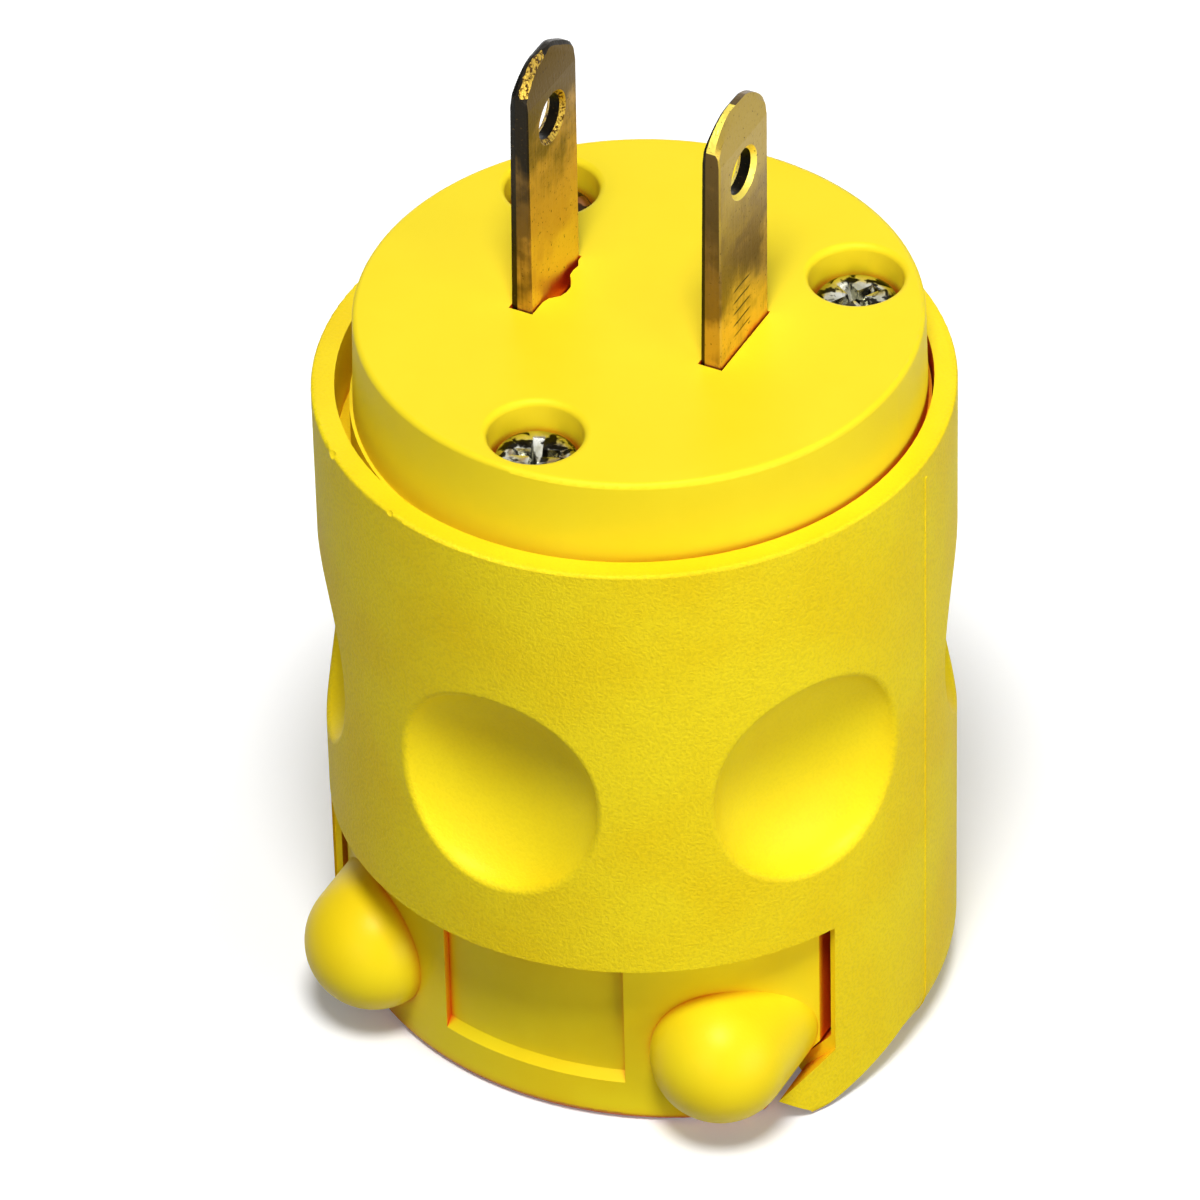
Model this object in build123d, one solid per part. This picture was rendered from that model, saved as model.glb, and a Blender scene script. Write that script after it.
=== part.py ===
from build123d import *
from math import cos, radians, sin
import os

# Straight blade plug, millimetres. Origin on the body axis at the rear end plane, +Z toward the
# blades, X along the blade spacing, -Y the side of the cord clamp.

# Body shell
BODY_RADIUS = 19.5
BODY_HEIGHT = 45.2
RIM_WALL = 1.42
RIM_ROUND = 0.2
RIM_NICKS = [(-131.0, 0.42), (-111.0, 0.3)]
SEAT_DEPTH = 4.7
BODY_WALL = 5.3
CHAMBER_FLOOR = 16.2
REAR_ROUND = 3.6
LEG_ROUND = 0.5
LEG_RELIEF_START = 10.0
LEG_RELIEF_END = 1.0
LEG_RELIEF_RISE = 3.2
PARTING_WIDTH = 0.2
PARTING_HEIGHT = 0.06
PARTING_STOP = 1.2
OVERCUT = 5.0

# Finger dimples
DIMPLE_COUNT = 6
DIMPLE_DROP = 18.33
DIMPLE_HALF_SIZE = 7.24
DIMPLE_BULGE = 3.28
DIMPLE_OUTSET = 0.2
DIMPLE_ROUND = 0.4

# Rear window, where the cord clamp sits
WINDOW_TOP = 14.4
LEG_INSET = 2.0
LEG_STEP = 0.45
WINDOW_BACK = -1.5
LEG_EDGE_BACK = -8.3
HOOK_TOP = 4.55
HOOK_TIP_INSET = 2.2
HOOK_TIP_Z = 2.2
HOOK_TOE_INSET = 0.9
HOOK_TOE_Z = 0.45
HOOK_LAND = 0.75

# Cord grip
CORD_Y = -3.0
GRIP_RADIUS = 5.2
CORD_HOLE_RADIUS = 6.3
GRIP_RIB_HEIGHT = 0.8
GRIP_RIB_WIDTH = 1.4
GRIP_RIB_LOW = 3.9
GRIP_RIB_HIGH = 10.7
CORE_GAP = 2.2
CORE_WALL = 1.95
CORE_SKIN = 2.4
CORE_ROOF = 2.0

# Cord clamp
CLAMP_ARC_RADIUS = 21.0
CLAMP_SET_BACK = 2.9
CLAMP_SIDE_GAP = 0.6
CLAMP_FACE_Y = -4.5
CLAMP_TOP_GAP = 0.35
CLAMP_BOTTOM = 0.05
CLAMP_SHOULDER_Z = 4.9
CLAMP_FOOT_GAP = 1.0
CLAMP_FOOT_Z = 2.5
CLAMP_ROUND = 0.6
PANEL_X = 0.35
PANEL_HALF = 6.15
PANEL_LOW = 3.1
PANEL_HIGH = 12.6
PANEL_DEPTH = 0.55
DOME_INSET = 4.4
DOME_SET_BACK = 6.0
DOME_Z = 6.1
DOME_RADIUS = 4.35

# Clamp screws and nuts, along Y
CLAMP_SHANK = 3.4
CLAMP_HOLE = 3.8
CLAMP_HEAD = 6.2
CLAMP_HEAD_HEIGHT = 2.3
CLAMP_HEAD_ROUND = 0.8
CLAMP_COUNTERBORE = 7.2
CLAMP_SEAT_DEPTH = 10.5
CLAMP_TIP_REACH = 2.1
CROSS_LENGTH = 2.9
CROSS_WIDTH = 0.7
CROSS_DEPTH = 1.55
NUT_FLATS = 6.0
NUT_HEIGHT = 2.6
NUT_INSET = 0.7

# Face cover
FLANGE_CLEARANCE = 0.5
FLANGE_STEP = 0.2
FACE_DRAFT = 0.18
FACE_RISE = 5.1
FACE_ROUND = 0.35
FACE_SHIFT_X = 0.34
FACE_SHIFT_Y = 0.14
FLANGE_DROP = 1.3
FACE_PLATE = 3.3
FACE_WALL = 2.2
PILLAR_RADIUS = 3.1
FLANGE_GAP = 0.1

# Face screws and their inserts
SCREW_INSET = 3.97
SCREW_ANGLES = {"front": -90.0, "right": 39.75, "left": 140.25}
RECESS_DIAMETER = 5.8
RECESS_DEPTH = 3.3
RECESS_ROUND = 0.4
HEAD_DIAMETER = 5.2
HEAD_HEIGHT = 1.7
HEAD_ROUND = 0.75
RECESS_CROSS = 2.9
RECESS_CROSS_WIDTH = 0.68
RECESS_CROSS_DEPTH = 1.45
SCREW_SHANK = 3.0
SCREW_HOLE = 3.5
SCREW_LENGTH = 12.4
INSERT_DIAMETER = 4.6
INSERT_LENGTH = 6.0
INSERT_SINK = 0.1
INSERT_WAIST = 0.3
TIP_ROOM = 2.6
BOSS_RADIUS = 3.7
BOSS_LENGTH = 11.0
FIT_GAP = 0.03

# Blades
BLADE_SPACING = 12.7
BLADE_SHIFT_X = 0.48
BLADE_SHIFT_Y = -0.05
BLADE_LEAN = 0.45
BLADE_THICKNESS = 1.4
BLADE_WIDTH = 6.25
BLADE_SHOULDER = 15.9
BLADE_LENGTH = 17.45
BLADE_TIP_HALF = 1.1
BLADE_TIP_BULGE = 0.12
BLADE_BEVEL = 14.8
BLADE_TIP_THICKNESS = 0.76
BLADE_EDGE = 0.12
BLADE_HOLE = 3.3
BLADE_HOLE_AT = 12.5
BLADE_HOLE_BREAK = 0.25
TAB_REACH = 4.8
TAB_CORNER = 0.8
SLOT_GAP = 0.1
CHIP_REACH = [0.0, 0.16, 0.68, 0.84, 0.82, 0.6, 0.24, 0.18, 0.26, 0.0]
CHIP_START = -1.95
CHIP_END = 2.75
CHIP_DEPTH = 1.3
STOP_WIDTH = 9.0
STOP_HEIGHT = 1.8
STOP_GAP = 0.1

# Terminal carrier
CARRIER_GAP = 0.15
CARRIER_NOTCH_GAP = 0.25
CARRIER_SLOT_GAP = 0.15
BARRIER_THICKNESS = 1.6
BARRIER_REACH = 7.8
BARRIER_FRONT = -7.5
BARRIER_BACK = 9.0

# Terminal screws and pressure plates, along X
TERMINAL_DROP = 7.7
TERMINAL_SHANK = 3.3
TERMINAL_HEAD = 6.8
TERMINAL_HEAD_HEIGHT = 2.0
TERMINAL_HEAD_ROUND = 0.5
TERMINAL_SLOT_DEPTH = 0.9
TERMINAL_SLOT_WIDTH = 1.0
TERMINAL_TIP = 3.4
PLATE_BOSS_GAP = 1.15
PLATE_CORNER = 0.6
PLATE_HEIGHT = 7.7
PLATE_THICKNESS = 1.0
PLATE_HOLE = 3.9

# Values that follow from the ones above
REACH = BODY_RADIUS + OVERCUT
SEAT_Z = BODY_HEIGHT - SEAT_DEPTH
RIM_INNER_RADIUS = BODY_RADIUS - RIM_WALL
CHAMBER_RADIUS = BODY_RADIUS - BODY_WALL
DIMPLE_Z = BODY_HEIGHT - DIMPLE_DROP
WINDOW_HALF = BODY_RADIUS - LEG_INSET
WINDOW_INNER_HALF = WINDOW_HALF - LEG_STEP
HOOK_TIP_HALF = WINDOW_HALF - HOOK_TIP_INSET
HOOK_TOE_HALF = WINDOW_HALF - HOOK_TOE_INSET
CLAMP_HALF = WINDOW_INNER_HALF - CLAMP_SIDE_GAP
CLAMP_FOOT_HALF = HOOK_TIP_HALF - CLAMP_FOOT_GAP
CLAMP_FRONT = CLAMP_SET_BACK - BODY_RADIUS
CLAMP_ARC_Y = CLAMP_FRONT + CLAMP_ARC_RADIUS
DOME_X = CLAMP_HALF - DOME_INSET
DOME_Y = DOME_SET_BACK - BODY_RADIUS
CLAMP_SEAT_Y = BODY_RADIUS - CLAMP_SEAT_DEPTH
CLAMP_TIP_Y = DOME_Y - CLAMP_TIP_REACH
NUT_Y = DOME_Y + NUT_INSET
FLANGE_RADIUS = RIM_INNER_RADIUS - FLANGE_CLEARANCE
FACE_BASE_RADIUS = FLANGE_RADIUS - FLANGE_STEP
FACE_RADIUS = FACE_BASE_RADIUS - FACE_DRAFT
FACE_TOP = BODY_HEIGHT + FACE_RISE
FLANGE_TOP = BODY_HEIGHT - FLANGE_DROP
FACE_CAVITY_RADIUS = FACE_BASE_RADIUS - FACE_WALL
SCREW_CIRCLE = FACE_BASE_RADIUS - SCREW_INSET
CAVITY_TOP = FACE_TOP - FACE_PLATE
HEAD_SEAT_Z = FACE_TOP - RECESS_DEPTH
CARRIER_TOP = CAVITY_TOP - STOP_HEIGHT - 2 * STOP_GAP
CARRIER_RADIUS = FACE_CAVITY_RADIUS - CARRIER_GAP
TERMINAL_Z = SEAT_Z - TERMINAL_DROP
BLADE_TAB_END = TERMINAL_Z - TAB_REACH
BARRIER_END = TERMINAL_Z - BARRIER_REACH
BOSS_SIDE_Y = SCREW_CIRCLE * sin(radians(SCREW_ANGLES["right"])) + FACE_SHIFT_Y - BOSS_RADIUS
PLATE_WIDTH = 2 * (BOSS_SIDE_Y - PLATE_BOSS_GAP)
BLADE_PIVOT_Z = FACE_TOP - FACE_PLATE / 2


def upright(x, y, z0, z1, radius):
    """Cylinder along Z from z0 to z1."""
    return Pos(x, y, (z0 + z1) / 2) * Cylinder(radius, z1 - z0)


def along_y(x, z, y0, y1, radius):
    """Cylinder along Y from y0 to y1."""
    return Pos(x, (y0 + y1) / 2, z) * Rot(90, 0, 0) * Cylinder(radius, y1 - y0)


def along_x(y, z, x0, x1, radius):
    """Cylinder along X from x0 to x1."""
    return Pos((x0 + x1) / 2, y, z) * Rot(0, 90, 0) * Cylinder(radius, x1 - x0)


def block(x0, x1, y0, y1, z0, z1):
    """Box between two corners."""
    return Pos((x0 + x1) / 2, (y0 + y1) / 2, (z0 + z1) / 2) * Box(x1 - x0, y1 - y0, z1 - z0)


def flat_outline(points):
    """Closed outline as a flat face."""
    return Face(Wire.make_polygon([(px, py, 0) for px, py in points], close=True))


def prism_xz(points, y0, y1):
    """Outline in X and Z, carried from y0 to y1."""
    front = Plane(origin=(0, y1, 0), x_dir=(1, 0, 0), z_dir=(0, -1, 0))
    return extrude(front * flat_outline(points), amount=y1 - y0, dir=(0, -1, 0))


def prism_yz(points, x0, x1):
    """Outline in Y and Z, carried from x0 to x1."""
    side = Plane(origin=(x0, 0, 0), x_dir=(0, 1, 0), z_dir=(1, 0, 0))
    return extrude(side * flat_outline(points), amount=x1 - x0, dir=(1, 0, 0))


def rounded_cylinder(radius, height, low_round, high_round):
    """Cylinder on the Z axis from zero, with its two rims rounded."""
    solid = upright(0, 0, 0, height, radius)
    rims = solid.edges().filter_by(GeomType.CIRCLE).sort_by(Axis.Z)
    solid = fillet(rims[0], low_round)
    rims = solid.edges().filter_by(GeomType.CIRCLE).sort_by(Axis.Z)
    return fillet(rims[-1], high_round)


def screw_position(name):
    """Centre of a face screw, on the face's own axis."""
    angle = radians(SCREW_ANGLES[name])
    return FACE_SHIFT_X + SCREW_CIRCLE * cos(angle), FACE_SHIFT_Y + SCREW_CIRCLE * sin(angle)


def blade_x(side):
    """X of a blade's middle plane, before its lean."""
    return BLADE_SHIFT_X + side * BLADE_SPACING / 2


def lean(shape, side):
    """Tilt a blade, or what is screwed to it, about the middle of its slot."""
    pivot = Pos(blade_x(side), BLADE_SHIFT_Y, BLADE_PIVOT_Z)
    return pivot * Rot(0, BLADE_LEAN, 0) * pivot.inverse() * shape


def dimple_tool():
    """Shallow ellipsoid that presses one finger dimple, its flat way along X."""
    ball = Rot(90, 0, 0) * Sphere(DIMPLE_HALF_SIZE)
    return scale(ball, by=(DIMPLE_BULGE / DIMPLE_HALF_SIZE, 1, 1))


def window_outline(half, land):
    """Outline of the rear window seen from the front. The land carries the hooks further in."""
    right = [
        (half, WINDOW_TOP),
        (half, HOOK_TOP + land),
        (HOOK_TIP_HALF - land, HOOK_TIP_Z),
        (HOOK_TOE_HALF - land, HOOK_TOE_Z),
        (HOOK_TOE_HALF - land, -OVERCUT),
    ]
    return right + [(-x, z) for x, z in reversed(right)]


def grip_ribs():
    """Rings that bite the cord, full circles before each half takes its share."""
    ribs = []
    for z in (GRIP_RIB_LOW, GRIP_RIB_HIGH):
        ring = upright(0, CORD_Y, z - GRIP_RIB_WIDTH / 2, z + GRIP_RIB_WIDTH / 2, GRIP_RADIUS + 0.5)
        ribs.append(ring - upright(0, CORD_Y, z - OVERCUT, z + OVERCUT, GRIP_RADIUS - GRIP_RIB_HEIGHT))
    return ribs[0] + ribs[1]


def make_body():
    """Body shell: rim, seat, wiring chamber, bosses, cord grip, window and dimples."""
    body = rounded_cylinder(BODY_RADIUS, BODY_HEIGHT, REAR_ROUND, RIM_ROUND)
    legs = rounded_cylinder(BODY_RADIUS, BODY_HEIGHT, LEG_ROUND, RIM_ROUND)
    relief_top = LEG_RELIEF_RISE + REAR_ROUND
    relief = [
        (-REACH, -OVERCUT),
        (-LEG_RELIEF_START, -OVERCUT),
        (-LEG_RELIEF_START, 0.0),
        (-LEG_RELIEF_END, LEG_RELIEF_RISE),
        (-LEG_RELIEF_END, relief_top),
        (-REACH, relief_top),
    ]
    body = body + (legs & prism_yz(relief, -REACH, REACH))

    # Ridge that the two mould halves leave on either side
    ridge = Pos(0, 0, -PARTING_HEIGHT) * rounded_cylinder(
        BODY_RADIUS + PARTING_HEIGHT, BODY_HEIGHT, REAR_ROUND + PARTING_HEIGHT, RIM_ROUND
    )
    half = PARTING_WIDTH / 2
    for side in (-1, 1):
        inner = side * (BODY_RADIUS - BODY_WALL / 2)
        ends = sorted((inner, side * REACH))
        body = body + (ridge & block(ends[0], ends[1], -half, half, 0, BODY_HEIGHT - PARTING_STOP))

    # Finger dimples, their edges eased
    tool = dimple_tool()
    for index in range(DIMPLE_COUNT):
        angle = -90 + index * 360 / DIMPLE_COUNT
        body = body - Rot(0, 0, angle) * Pos(BODY_RADIUS + DIMPLE_OUTSET, 0, DIMPLE_Z) * tool
    edges = body.edges().filter_by(lambda e: abs(e.center().Z - DIMPLE_Z) < DIMPLE_HALF_SIZE)
    edges = edges.filter_by(lambda e: e.geom_type not in (GeomType.LINE, GeomType.CIRCLE))
    body = fillet(edges, DIMPLE_ROUND)

    # Small nicks in the rim's outer edge
    for angle, size in RIM_NICKS:
        body = body - Rot(0, 0, angle) * Pos(BODY_RADIUS + size / 3, 0, BODY_HEIGHT) * Sphere(size)

    # Socket for the cover, wiring chamber and the hole the cord comes in by
    body = body - upright(0, 0, SEAT_Z, BODY_HEIGHT + 1, RIM_INNER_RADIUS)
    body = body - upright(0, 0, CHAMBER_FLOOR, SEAT_Z + 1, CHAMBER_RADIUS)
    for name in SCREW_ANGLES:
        x, y = screw_position(name)
        body = body + upright(x, y, SEAT_Z - BOSS_LENGTH, SEAT_Z, BOSS_RADIUS)
    for name in SCREW_ANGLES:
        x, y = screw_position(name)
        bore_bottom = SEAT_Z - INSERT_SINK - INSERT_LENGTH - FIT_GAP
        body = body - upright(x, y, bore_bottom, SEAT_Z + 1, INSERT_DIAMETER / 2 + FIT_GAP)
        body = body - upright(x, y, bore_bottom - TIP_ROOM, bore_bottom + 0.5, SCREW_HOLE / 2)
    body = body - upright(0, CORD_Y, WINDOW_TOP - 1, CHAMBER_FLOOR + 1, CORD_HOLE_RADIUS)

    # Window for the clamp
    body = body - prism_xz(window_outline(WINDOW_HALF, 0), -REACH, LEG_EDGE_BACK)
    body = body - prism_xz(window_outline(WINDOW_INNER_HALF, HOOK_LAND), -REACH, WINDOW_BACK)

    # Saddle for the cord, with its grip ribs, and the core behind it
    body = body - upright(0, CORD_Y, -OVERCUT, WINDOW_TOP, GRIP_RADIUS)
    body = body + (grip_ribs() & block(-REACH, REACH, WINDOW_BACK, REACH, 0, WINDOW_TOP))
    core_half = DOME_X - CLAMP_COUNTERBORE / 2 - CORE_WALL
    core_front = CORD_Y + GRIP_RADIUS + CORE_GAP
    core = block(-core_half, core_half, core_front, REACH, -OVERCUT, WINDOW_TOP - CORE_ROOF)
    body = body - (core & upright(0, 0, -OVERCUT, WINDOW_TOP, BODY_RADIUS - CORE_SKIN))

    # Clamp screw holes, counterbored from the back
    for side in (-1, 1):
        body = body - along_y(side * DOME_X, DOME_Z, WINDOW_BACK - 1, CLAMP_SEAT_Y + 1, CLAMP_HOLE / 2)
        body = body - along_y(side * DOME_X, DOME_Z, CLAMP_SEAT_Y, REACH, CLAMP_COUNTERBORE / 2)
    return body


def make_cover():
    """Face cover: disc, flange, cavity, pillars, screw recesses and blade slots."""
    wall = FACE_TOP - FLANGE_TOP
    top = Pos(0, 0, FLANGE_TOP + wall / 2) * Cone(FACE_BASE_RADIUS, FACE_RADIUS, wall)
    rim = top.edges().filter_by(GeomType.CIRCLE).sort_by(Axis.Z)[-1]
    top = fillet(rim, FACE_ROUND)
    flange = upright(0, 0, SEAT_Z + FLANGE_GAP, FLANGE_TOP, FLANGE_RADIUS)
    centre = Pos(FACE_SHIFT_X, FACE_SHIFT_Y, 0)
    face = centre * (top + flange)
    face = face - centre * upright(0, 0, SEAT_Z - 1, CAVITY_TOP, FACE_CAVITY_RADIUS)
    centres = [screw_position(name) for name in SCREW_ANGLES]
    for x, y in centres:
        face = face + upright(x, y, SEAT_Z + FLANGE_GAP, CAVITY_TOP + 0.5, PILLAR_RADIUS)
    for x, y in centres:
        face = face - upright(x, y, HEAD_SEAT_Z, FACE_TOP + 1, RECESS_DIAMETER / 2)
        face = face - upright(x, y, SEAT_Z - 1, FACE_TOP, SCREW_HOLE / 2)
    mouths = face.edges().filter_by(GeomType.CIRCLE)
    mouths = mouths.filter_by(lambda e: abs(e.radius - RECESS_DIAMETER / 2) < 0.01)
    mouths = mouths.filter_by(lambda e: abs(e.center().Z - FACE_TOP) < 0.01)
    face = fillet(mouths, RECESS_ROUND)
    for side in (-1, 1):
        face = face - blade_slot(side, SLOT_GAP, CAVITY_TOP - 1, FACE_TOP + 1)
    return face - slot_chip()


def slot_chip():
    """Ragged piece broken out of the cover beside the left blade, on its inner side."""
    edge = blade_x(-1) + BLADE_THICKNESS / 2 + SLOT_GAP
    step = (CHIP_END - CHIP_START) / (len(CHIP_REACH) - 1)
    ragged = [(edge + reach, CHIP_START + step * i) for i, reach in enumerate(CHIP_REACH)]
    outline = [(edge - SLOT_GAP, CHIP_START)] + ragged + [(edge - SLOT_GAP, CHIP_END)]
    chip = extrude(Plane.XY * flat_outline(outline), amount=2 * CHIP_DEPTH)
    return Pos(0, 0, FACE_TOP - CHIP_DEPTH) * chip


def blade_slot(side, gap, z0, z1):
    """Straight slot around one blade, with the same gap on every side."""
    half_t = BLADE_THICKNESS / 2 + gap
    half_w = BLADE_WIDTH / 2 + gap
    x = blade_x(side)
    return block(x - half_t, x + half_t, BLADE_SHIFT_Y - half_w, BLADE_SHIFT_Y + half_w, z0, z1)


def make_blade(side):
    """One blade with its stop shoulders and terminal tab, in one strip."""
    half = BLADE_WIDTH / 2
    half_t = BLADE_THICKNESS / 2
    shoulder = FACE_TOP + BLADE_SHOULDER
    tip = FACE_TOP + BLADE_LENGTH
    right = [
        (half - TAB_CORNER, BLADE_TAB_END),
        (half, BLADE_TAB_END + TAB_CORNER),
        (half, shoulder),
        ((half + BLADE_TIP_HALF) / 2 + BLADE_TIP_BULGE, (shoulder + tip) / 2 + BLADE_TIP_BULGE),
        (BLADE_TIP_HALF, tip),
    ]
    outline = right + [(-y, z) for y, z in reversed(right)]
    strip = prism_yz(outline, -half_t, half_t)
    strip = chamfer(strip.edges().filter_by(Axis.Z), BLADE_EDGE)
    bevel = [
        (-half_t, BLADE_TAB_END),
        (half_t, BLADE_TAB_END),
        (half_t, FACE_TOP + BLADE_BEVEL),
        (BLADE_TIP_THICKNESS / 2, tip),
        (-BLADE_TIP_THICKNESS / 2, tip),
        (-half_t, FACE_TOP + BLADE_BEVEL),
    ]
    strip = strip & prism_xz(bevel, -BLADE_WIDTH, BLADE_WIDTH)
    stop_z = CARRIER_TOP + STOP_GAP
    strip = strip + block(-half_t, half_t, -STOP_WIDTH / 2, STOP_WIDTH / 2, stop_z, stop_z + STOP_HEIGHT)
    hole_z = FACE_TOP + BLADE_HOLE_AT
    strip = strip - along_x(0, hole_z, -OVERCUT, OVERCUT, BLADE_HOLE / 2)
    mouths = strip.edges().filter_by(GeomType.CIRCLE)
    mouths = mouths.filter_by(lambda e: abs(e.radius - BLADE_HOLE / 2) < 0.01)
    strip = chamfer(mouths, BLADE_HOLE_BREAK)
    strip = strip - along_x(0, TERMINAL_Z, -OVERCUT, OVERCUT, TERMINAL_SHANK / 2 + FIT_GAP)
    return lean(Pos(blade_x(side), BLADE_SHIFT_Y, 0) * strip, side)


def make_carrier():
    """Inner insulator: plate with blade slots and pillar notches, and the wall between the poles."""
    carrier = upright(FACE_SHIFT_X, FACE_SHIFT_Y, SEAT_Z + FLANGE_GAP, CARRIER_TOP, CARRIER_RADIUS)
    for name in SCREW_ANGLES:
        x, y = screw_position(name)
        carrier = carrier - upright(x, y, SEAT_Z - 1, CARRIER_TOP + 1, PILLAR_RADIUS + CARRIER_NOTCH_GAP)
    for side in (-1, 1):
        carrier = carrier - blade_slot(side, CARRIER_SLOT_GAP, SEAT_Z - 1, CARRIER_TOP + 1)
    x0 = BLADE_SHIFT_X - BARRIER_THICKNESS / 2
    wall = block(x0, x0 + BARRIER_THICKNESS, BARRIER_FRONT, BARRIER_BACK, BARRIER_END, SEAT_Z + 1)
    return carrier + wall


def make_face_screw(name):
    """Pan-head screw with a cross recess, head in its face recess."""
    x, y = screw_position(name)
    head = upright(0, 0, 0, HEAD_HEIGHT, HEAD_DIAMETER / 2)
    head = fillet(head.edges().filter_by(GeomType.CIRCLE).sort_by(Axis.Z)[-1], HEAD_ROUND)
    half = RECESS_CROSS / 2
    floor = HEAD_HEIGHT - RECESS_CROSS_DEPTH
    arm = flat_outline([(-half, HEAD_HEIGHT), (-half / 2, floor), (half / 2, floor), (half, HEAD_HEIGHT)])
    blade = extrude(Plane.XZ * arm, amount=RECESS_CROSS_WIDTH / 2, both=True)
    cross = blade + Rot(0, 0, 90) * blade
    turn = Rot(0, 0, SCREW_ANGLES[name] + 25)
    screw = turn * (head - cross)
    screw = screw + upright(0, 0, -SCREW_LENGTH, 0, SCREW_SHANK / 2)
    return Pos(x, y, HEAD_SEAT_Z) * screw


def make_insert(name):
    """Threaded insert, shown with plain walls and a waist between two collars."""
    x, y = screw_position(name)
    top = SEAT_Z - INSERT_SINK
    insert = upright(x, y, top - INSERT_LENGTH, top, INSERT_DIAMETER / 2)
    ring = upright(x, y, top - INSERT_LENGTH * 0.6, top - INSERT_LENGTH * 0.4, INSERT_DIAMETER)
    ring = ring - upright(x, y, top - INSERT_LENGTH, top, INSERT_DIAMETER / 2 - INSERT_WAIST)
    insert = insert - ring
    return insert - upright(x, y, top - INSERT_LENGTH - 1, top + 1, SCREW_SHANK / 2 + FIT_GAP)


def terminal_place(shape, side):
    """Turn a piece drawn for the right-hand blade to its side, and lean it with the blade."""
    if side < 0:
        shape = Rot(0, 0, 180) * shape
    return lean(Pos(BLADE_SHIFT_X, BLADE_SHIFT_Y, 0) * shape, side)


def make_terminal_screw(side):
    """Binding screw, head on the outside of the blade's tab, driven toward the axis."""
    face_x = BLADE_SPACING / 2 + BLADE_THICKNESS / 2 + PLATE_THICKNESS + 2 * FIT_GAP
    top = face_x + TERMINAL_HEAD_HEIGHT
    head = along_x(0, TERMINAL_Z, face_x, top, TERMINAL_HEAD / 2)
    head = fillet(head.edges().filter_by(GeomType.CIRCLE).sort_by(Axis.X)[-1], TERMINAL_HEAD_ROUND)
    half = TERMINAL_SLOT_WIDTH / 2
    slot_floor = top - TERMINAL_SLOT_DEPTH
    slot = block(slot_floor, top + 1, -TERMINAL_HEAD, TERMINAL_HEAD, TERMINAL_Z - half, TERMINAL_Z + half)
    screw = head - slot + along_x(0, TERMINAL_Z, TERMINAL_TIP, face_x + 0.2, TERMINAL_SHANK / 2)
    return terminal_place(screw, side)


def make_plate(side):
    """Square pressure plate between the binding screw's head and the tab."""
    x0 = BLADE_SPACING / 2 + BLADE_THICKNESS / 2 + FIT_GAP
    half = PLATE_WIDTH / 2
    rise = PLATE_HEIGHT / 2
    plate = block(x0, x0 + PLATE_THICKNESS, -half, half, TERMINAL_Z - rise, TERMINAL_Z + rise)
    plate = chamfer(plate.edges().filter_by(Axis.X), PLATE_CORNER)
    plate = plate - along_x(0, TERMINAL_Z, x0 - 1, x0 + PLATE_THICKNESS + 1, PLATE_HOLE / 2)
    return terminal_place(plate, side)


def make_clamp():
    """Cord clamp: curved outer face with a recessed panel, domed bosses and a ribbed saddle."""
    top = WINDOW_TOP - CLAMP_TOP_GAP
    right = [
        (CLAMP_HALF, top),
        (CLAMP_HALF, CLAMP_SHOULDER_Z),
        (CLAMP_FOOT_HALF, CLAMP_FOOT_Z),
        (CLAMP_FOOT_HALF - 0.5, CLAMP_BOTTOM),
    ]
    outline = right + [(-x, z) for x, z in reversed(right)]
    blank = prism_xz(outline, -REACH, CLAMP_FACE_Y)
    drum = upright(0, CLAMP_ARC_Y, CLAMP_BOTTOM, top + 2, CLAMP_ARC_RADIUS)
    drum = fillet(drum.edges().filter_by(GeomType.CIRCLE).sort_by(Axis.Z)[0], CLAMP_ROUND)
    clamp = blank & drum

    # Recessed panel, its lower wall sloping out
    x0 = PANEL_X - PANEL_HALF
    x1 = PANEL_X + PANEL_HALF
    panel = block(x0, x1, CLAMP_FRONT - 1, CLAMP_FRONT + OVERCUT, PANEL_LOW, PANEL_HIGH)
    sill_z = PANEL_LOW + PANEL_DEPTH
    floor_radius = CLAMP_ARC_RADIUS - PANEL_DEPTH
    sill = Pos(0, CLAMP_ARC_Y, (PANEL_LOW + sill_z) / 2) * Cone(CLAMP_ARC_RADIUS, floor_radius, PANEL_DEPTH)
    floor = upright(0, CLAMP_ARC_Y, sill_z, top + 1, floor_radius)
    clamp = clamp - (panel - sill - floor)

    # Domed bosses, level with the clamp's lower edge
    for side in (-1, 1):
        x = side * DOME_X
        boss = along_y(x, DOME_Z, DOME_Y, CLAMP_FACE_Y - 2, DOME_RADIUS)
        boss = boss + Pos(x, DOME_Y, DOME_Z) * Sphere(DOME_RADIUS)
        clamp = clamp + boss

    # Saddle and grip ribs
    clamp = clamp - upright(0, CORD_Y, -OVERCUT, top + 1, GRIP_RADIUS)
    clamp = clamp + (grip_ribs() & block(-REACH, REACH, -REACH, CLAMP_FACE_Y, CLAMP_BOTTOM, top))

    # Screw holes and the moulded-in nut pockets
    for side in (-1, 1):
        x = side * DOME_X
        clamp = clamp - along_y(x, DOME_Z, CLAMP_TIP_Y - 0.4, CLAMP_FACE_Y + 1, CLAMP_HOLE / 2)
        clamp = clamp - nut_blank(x, NUT_FLATS + 2 * FIT_GAP, NUT_HEIGHT + 2 * FIT_GAP, FIT_GAP)
    return clamp


def nut_blank(x, flats, height, drop):
    """Hexagonal prism along Y for a nut or its pocket."""
    hexagon = RegularPolygon(flats / 2, 6, major_radius=False)
    plane = Plane(origin=(x, NUT_Y - drop, DOME_Z), x_dir=(1, 0, 0), z_dir=(0, 1, 0))
    return extrude(plane * hexagon, amount=height)


def make_nut(side):
    """Hexagon nut inside a domed boss."""
    x = side * DOME_X
    nut = nut_blank(x, NUT_FLATS, NUT_HEIGHT, 0)
    return nut - along_y(x, DOME_Z, NUT_Y - OVERCUT, NUT_Y + NUT_HEIGHT + OVERCUT, CLAMP_SHANK / 2 + FIT_GAP)


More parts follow.
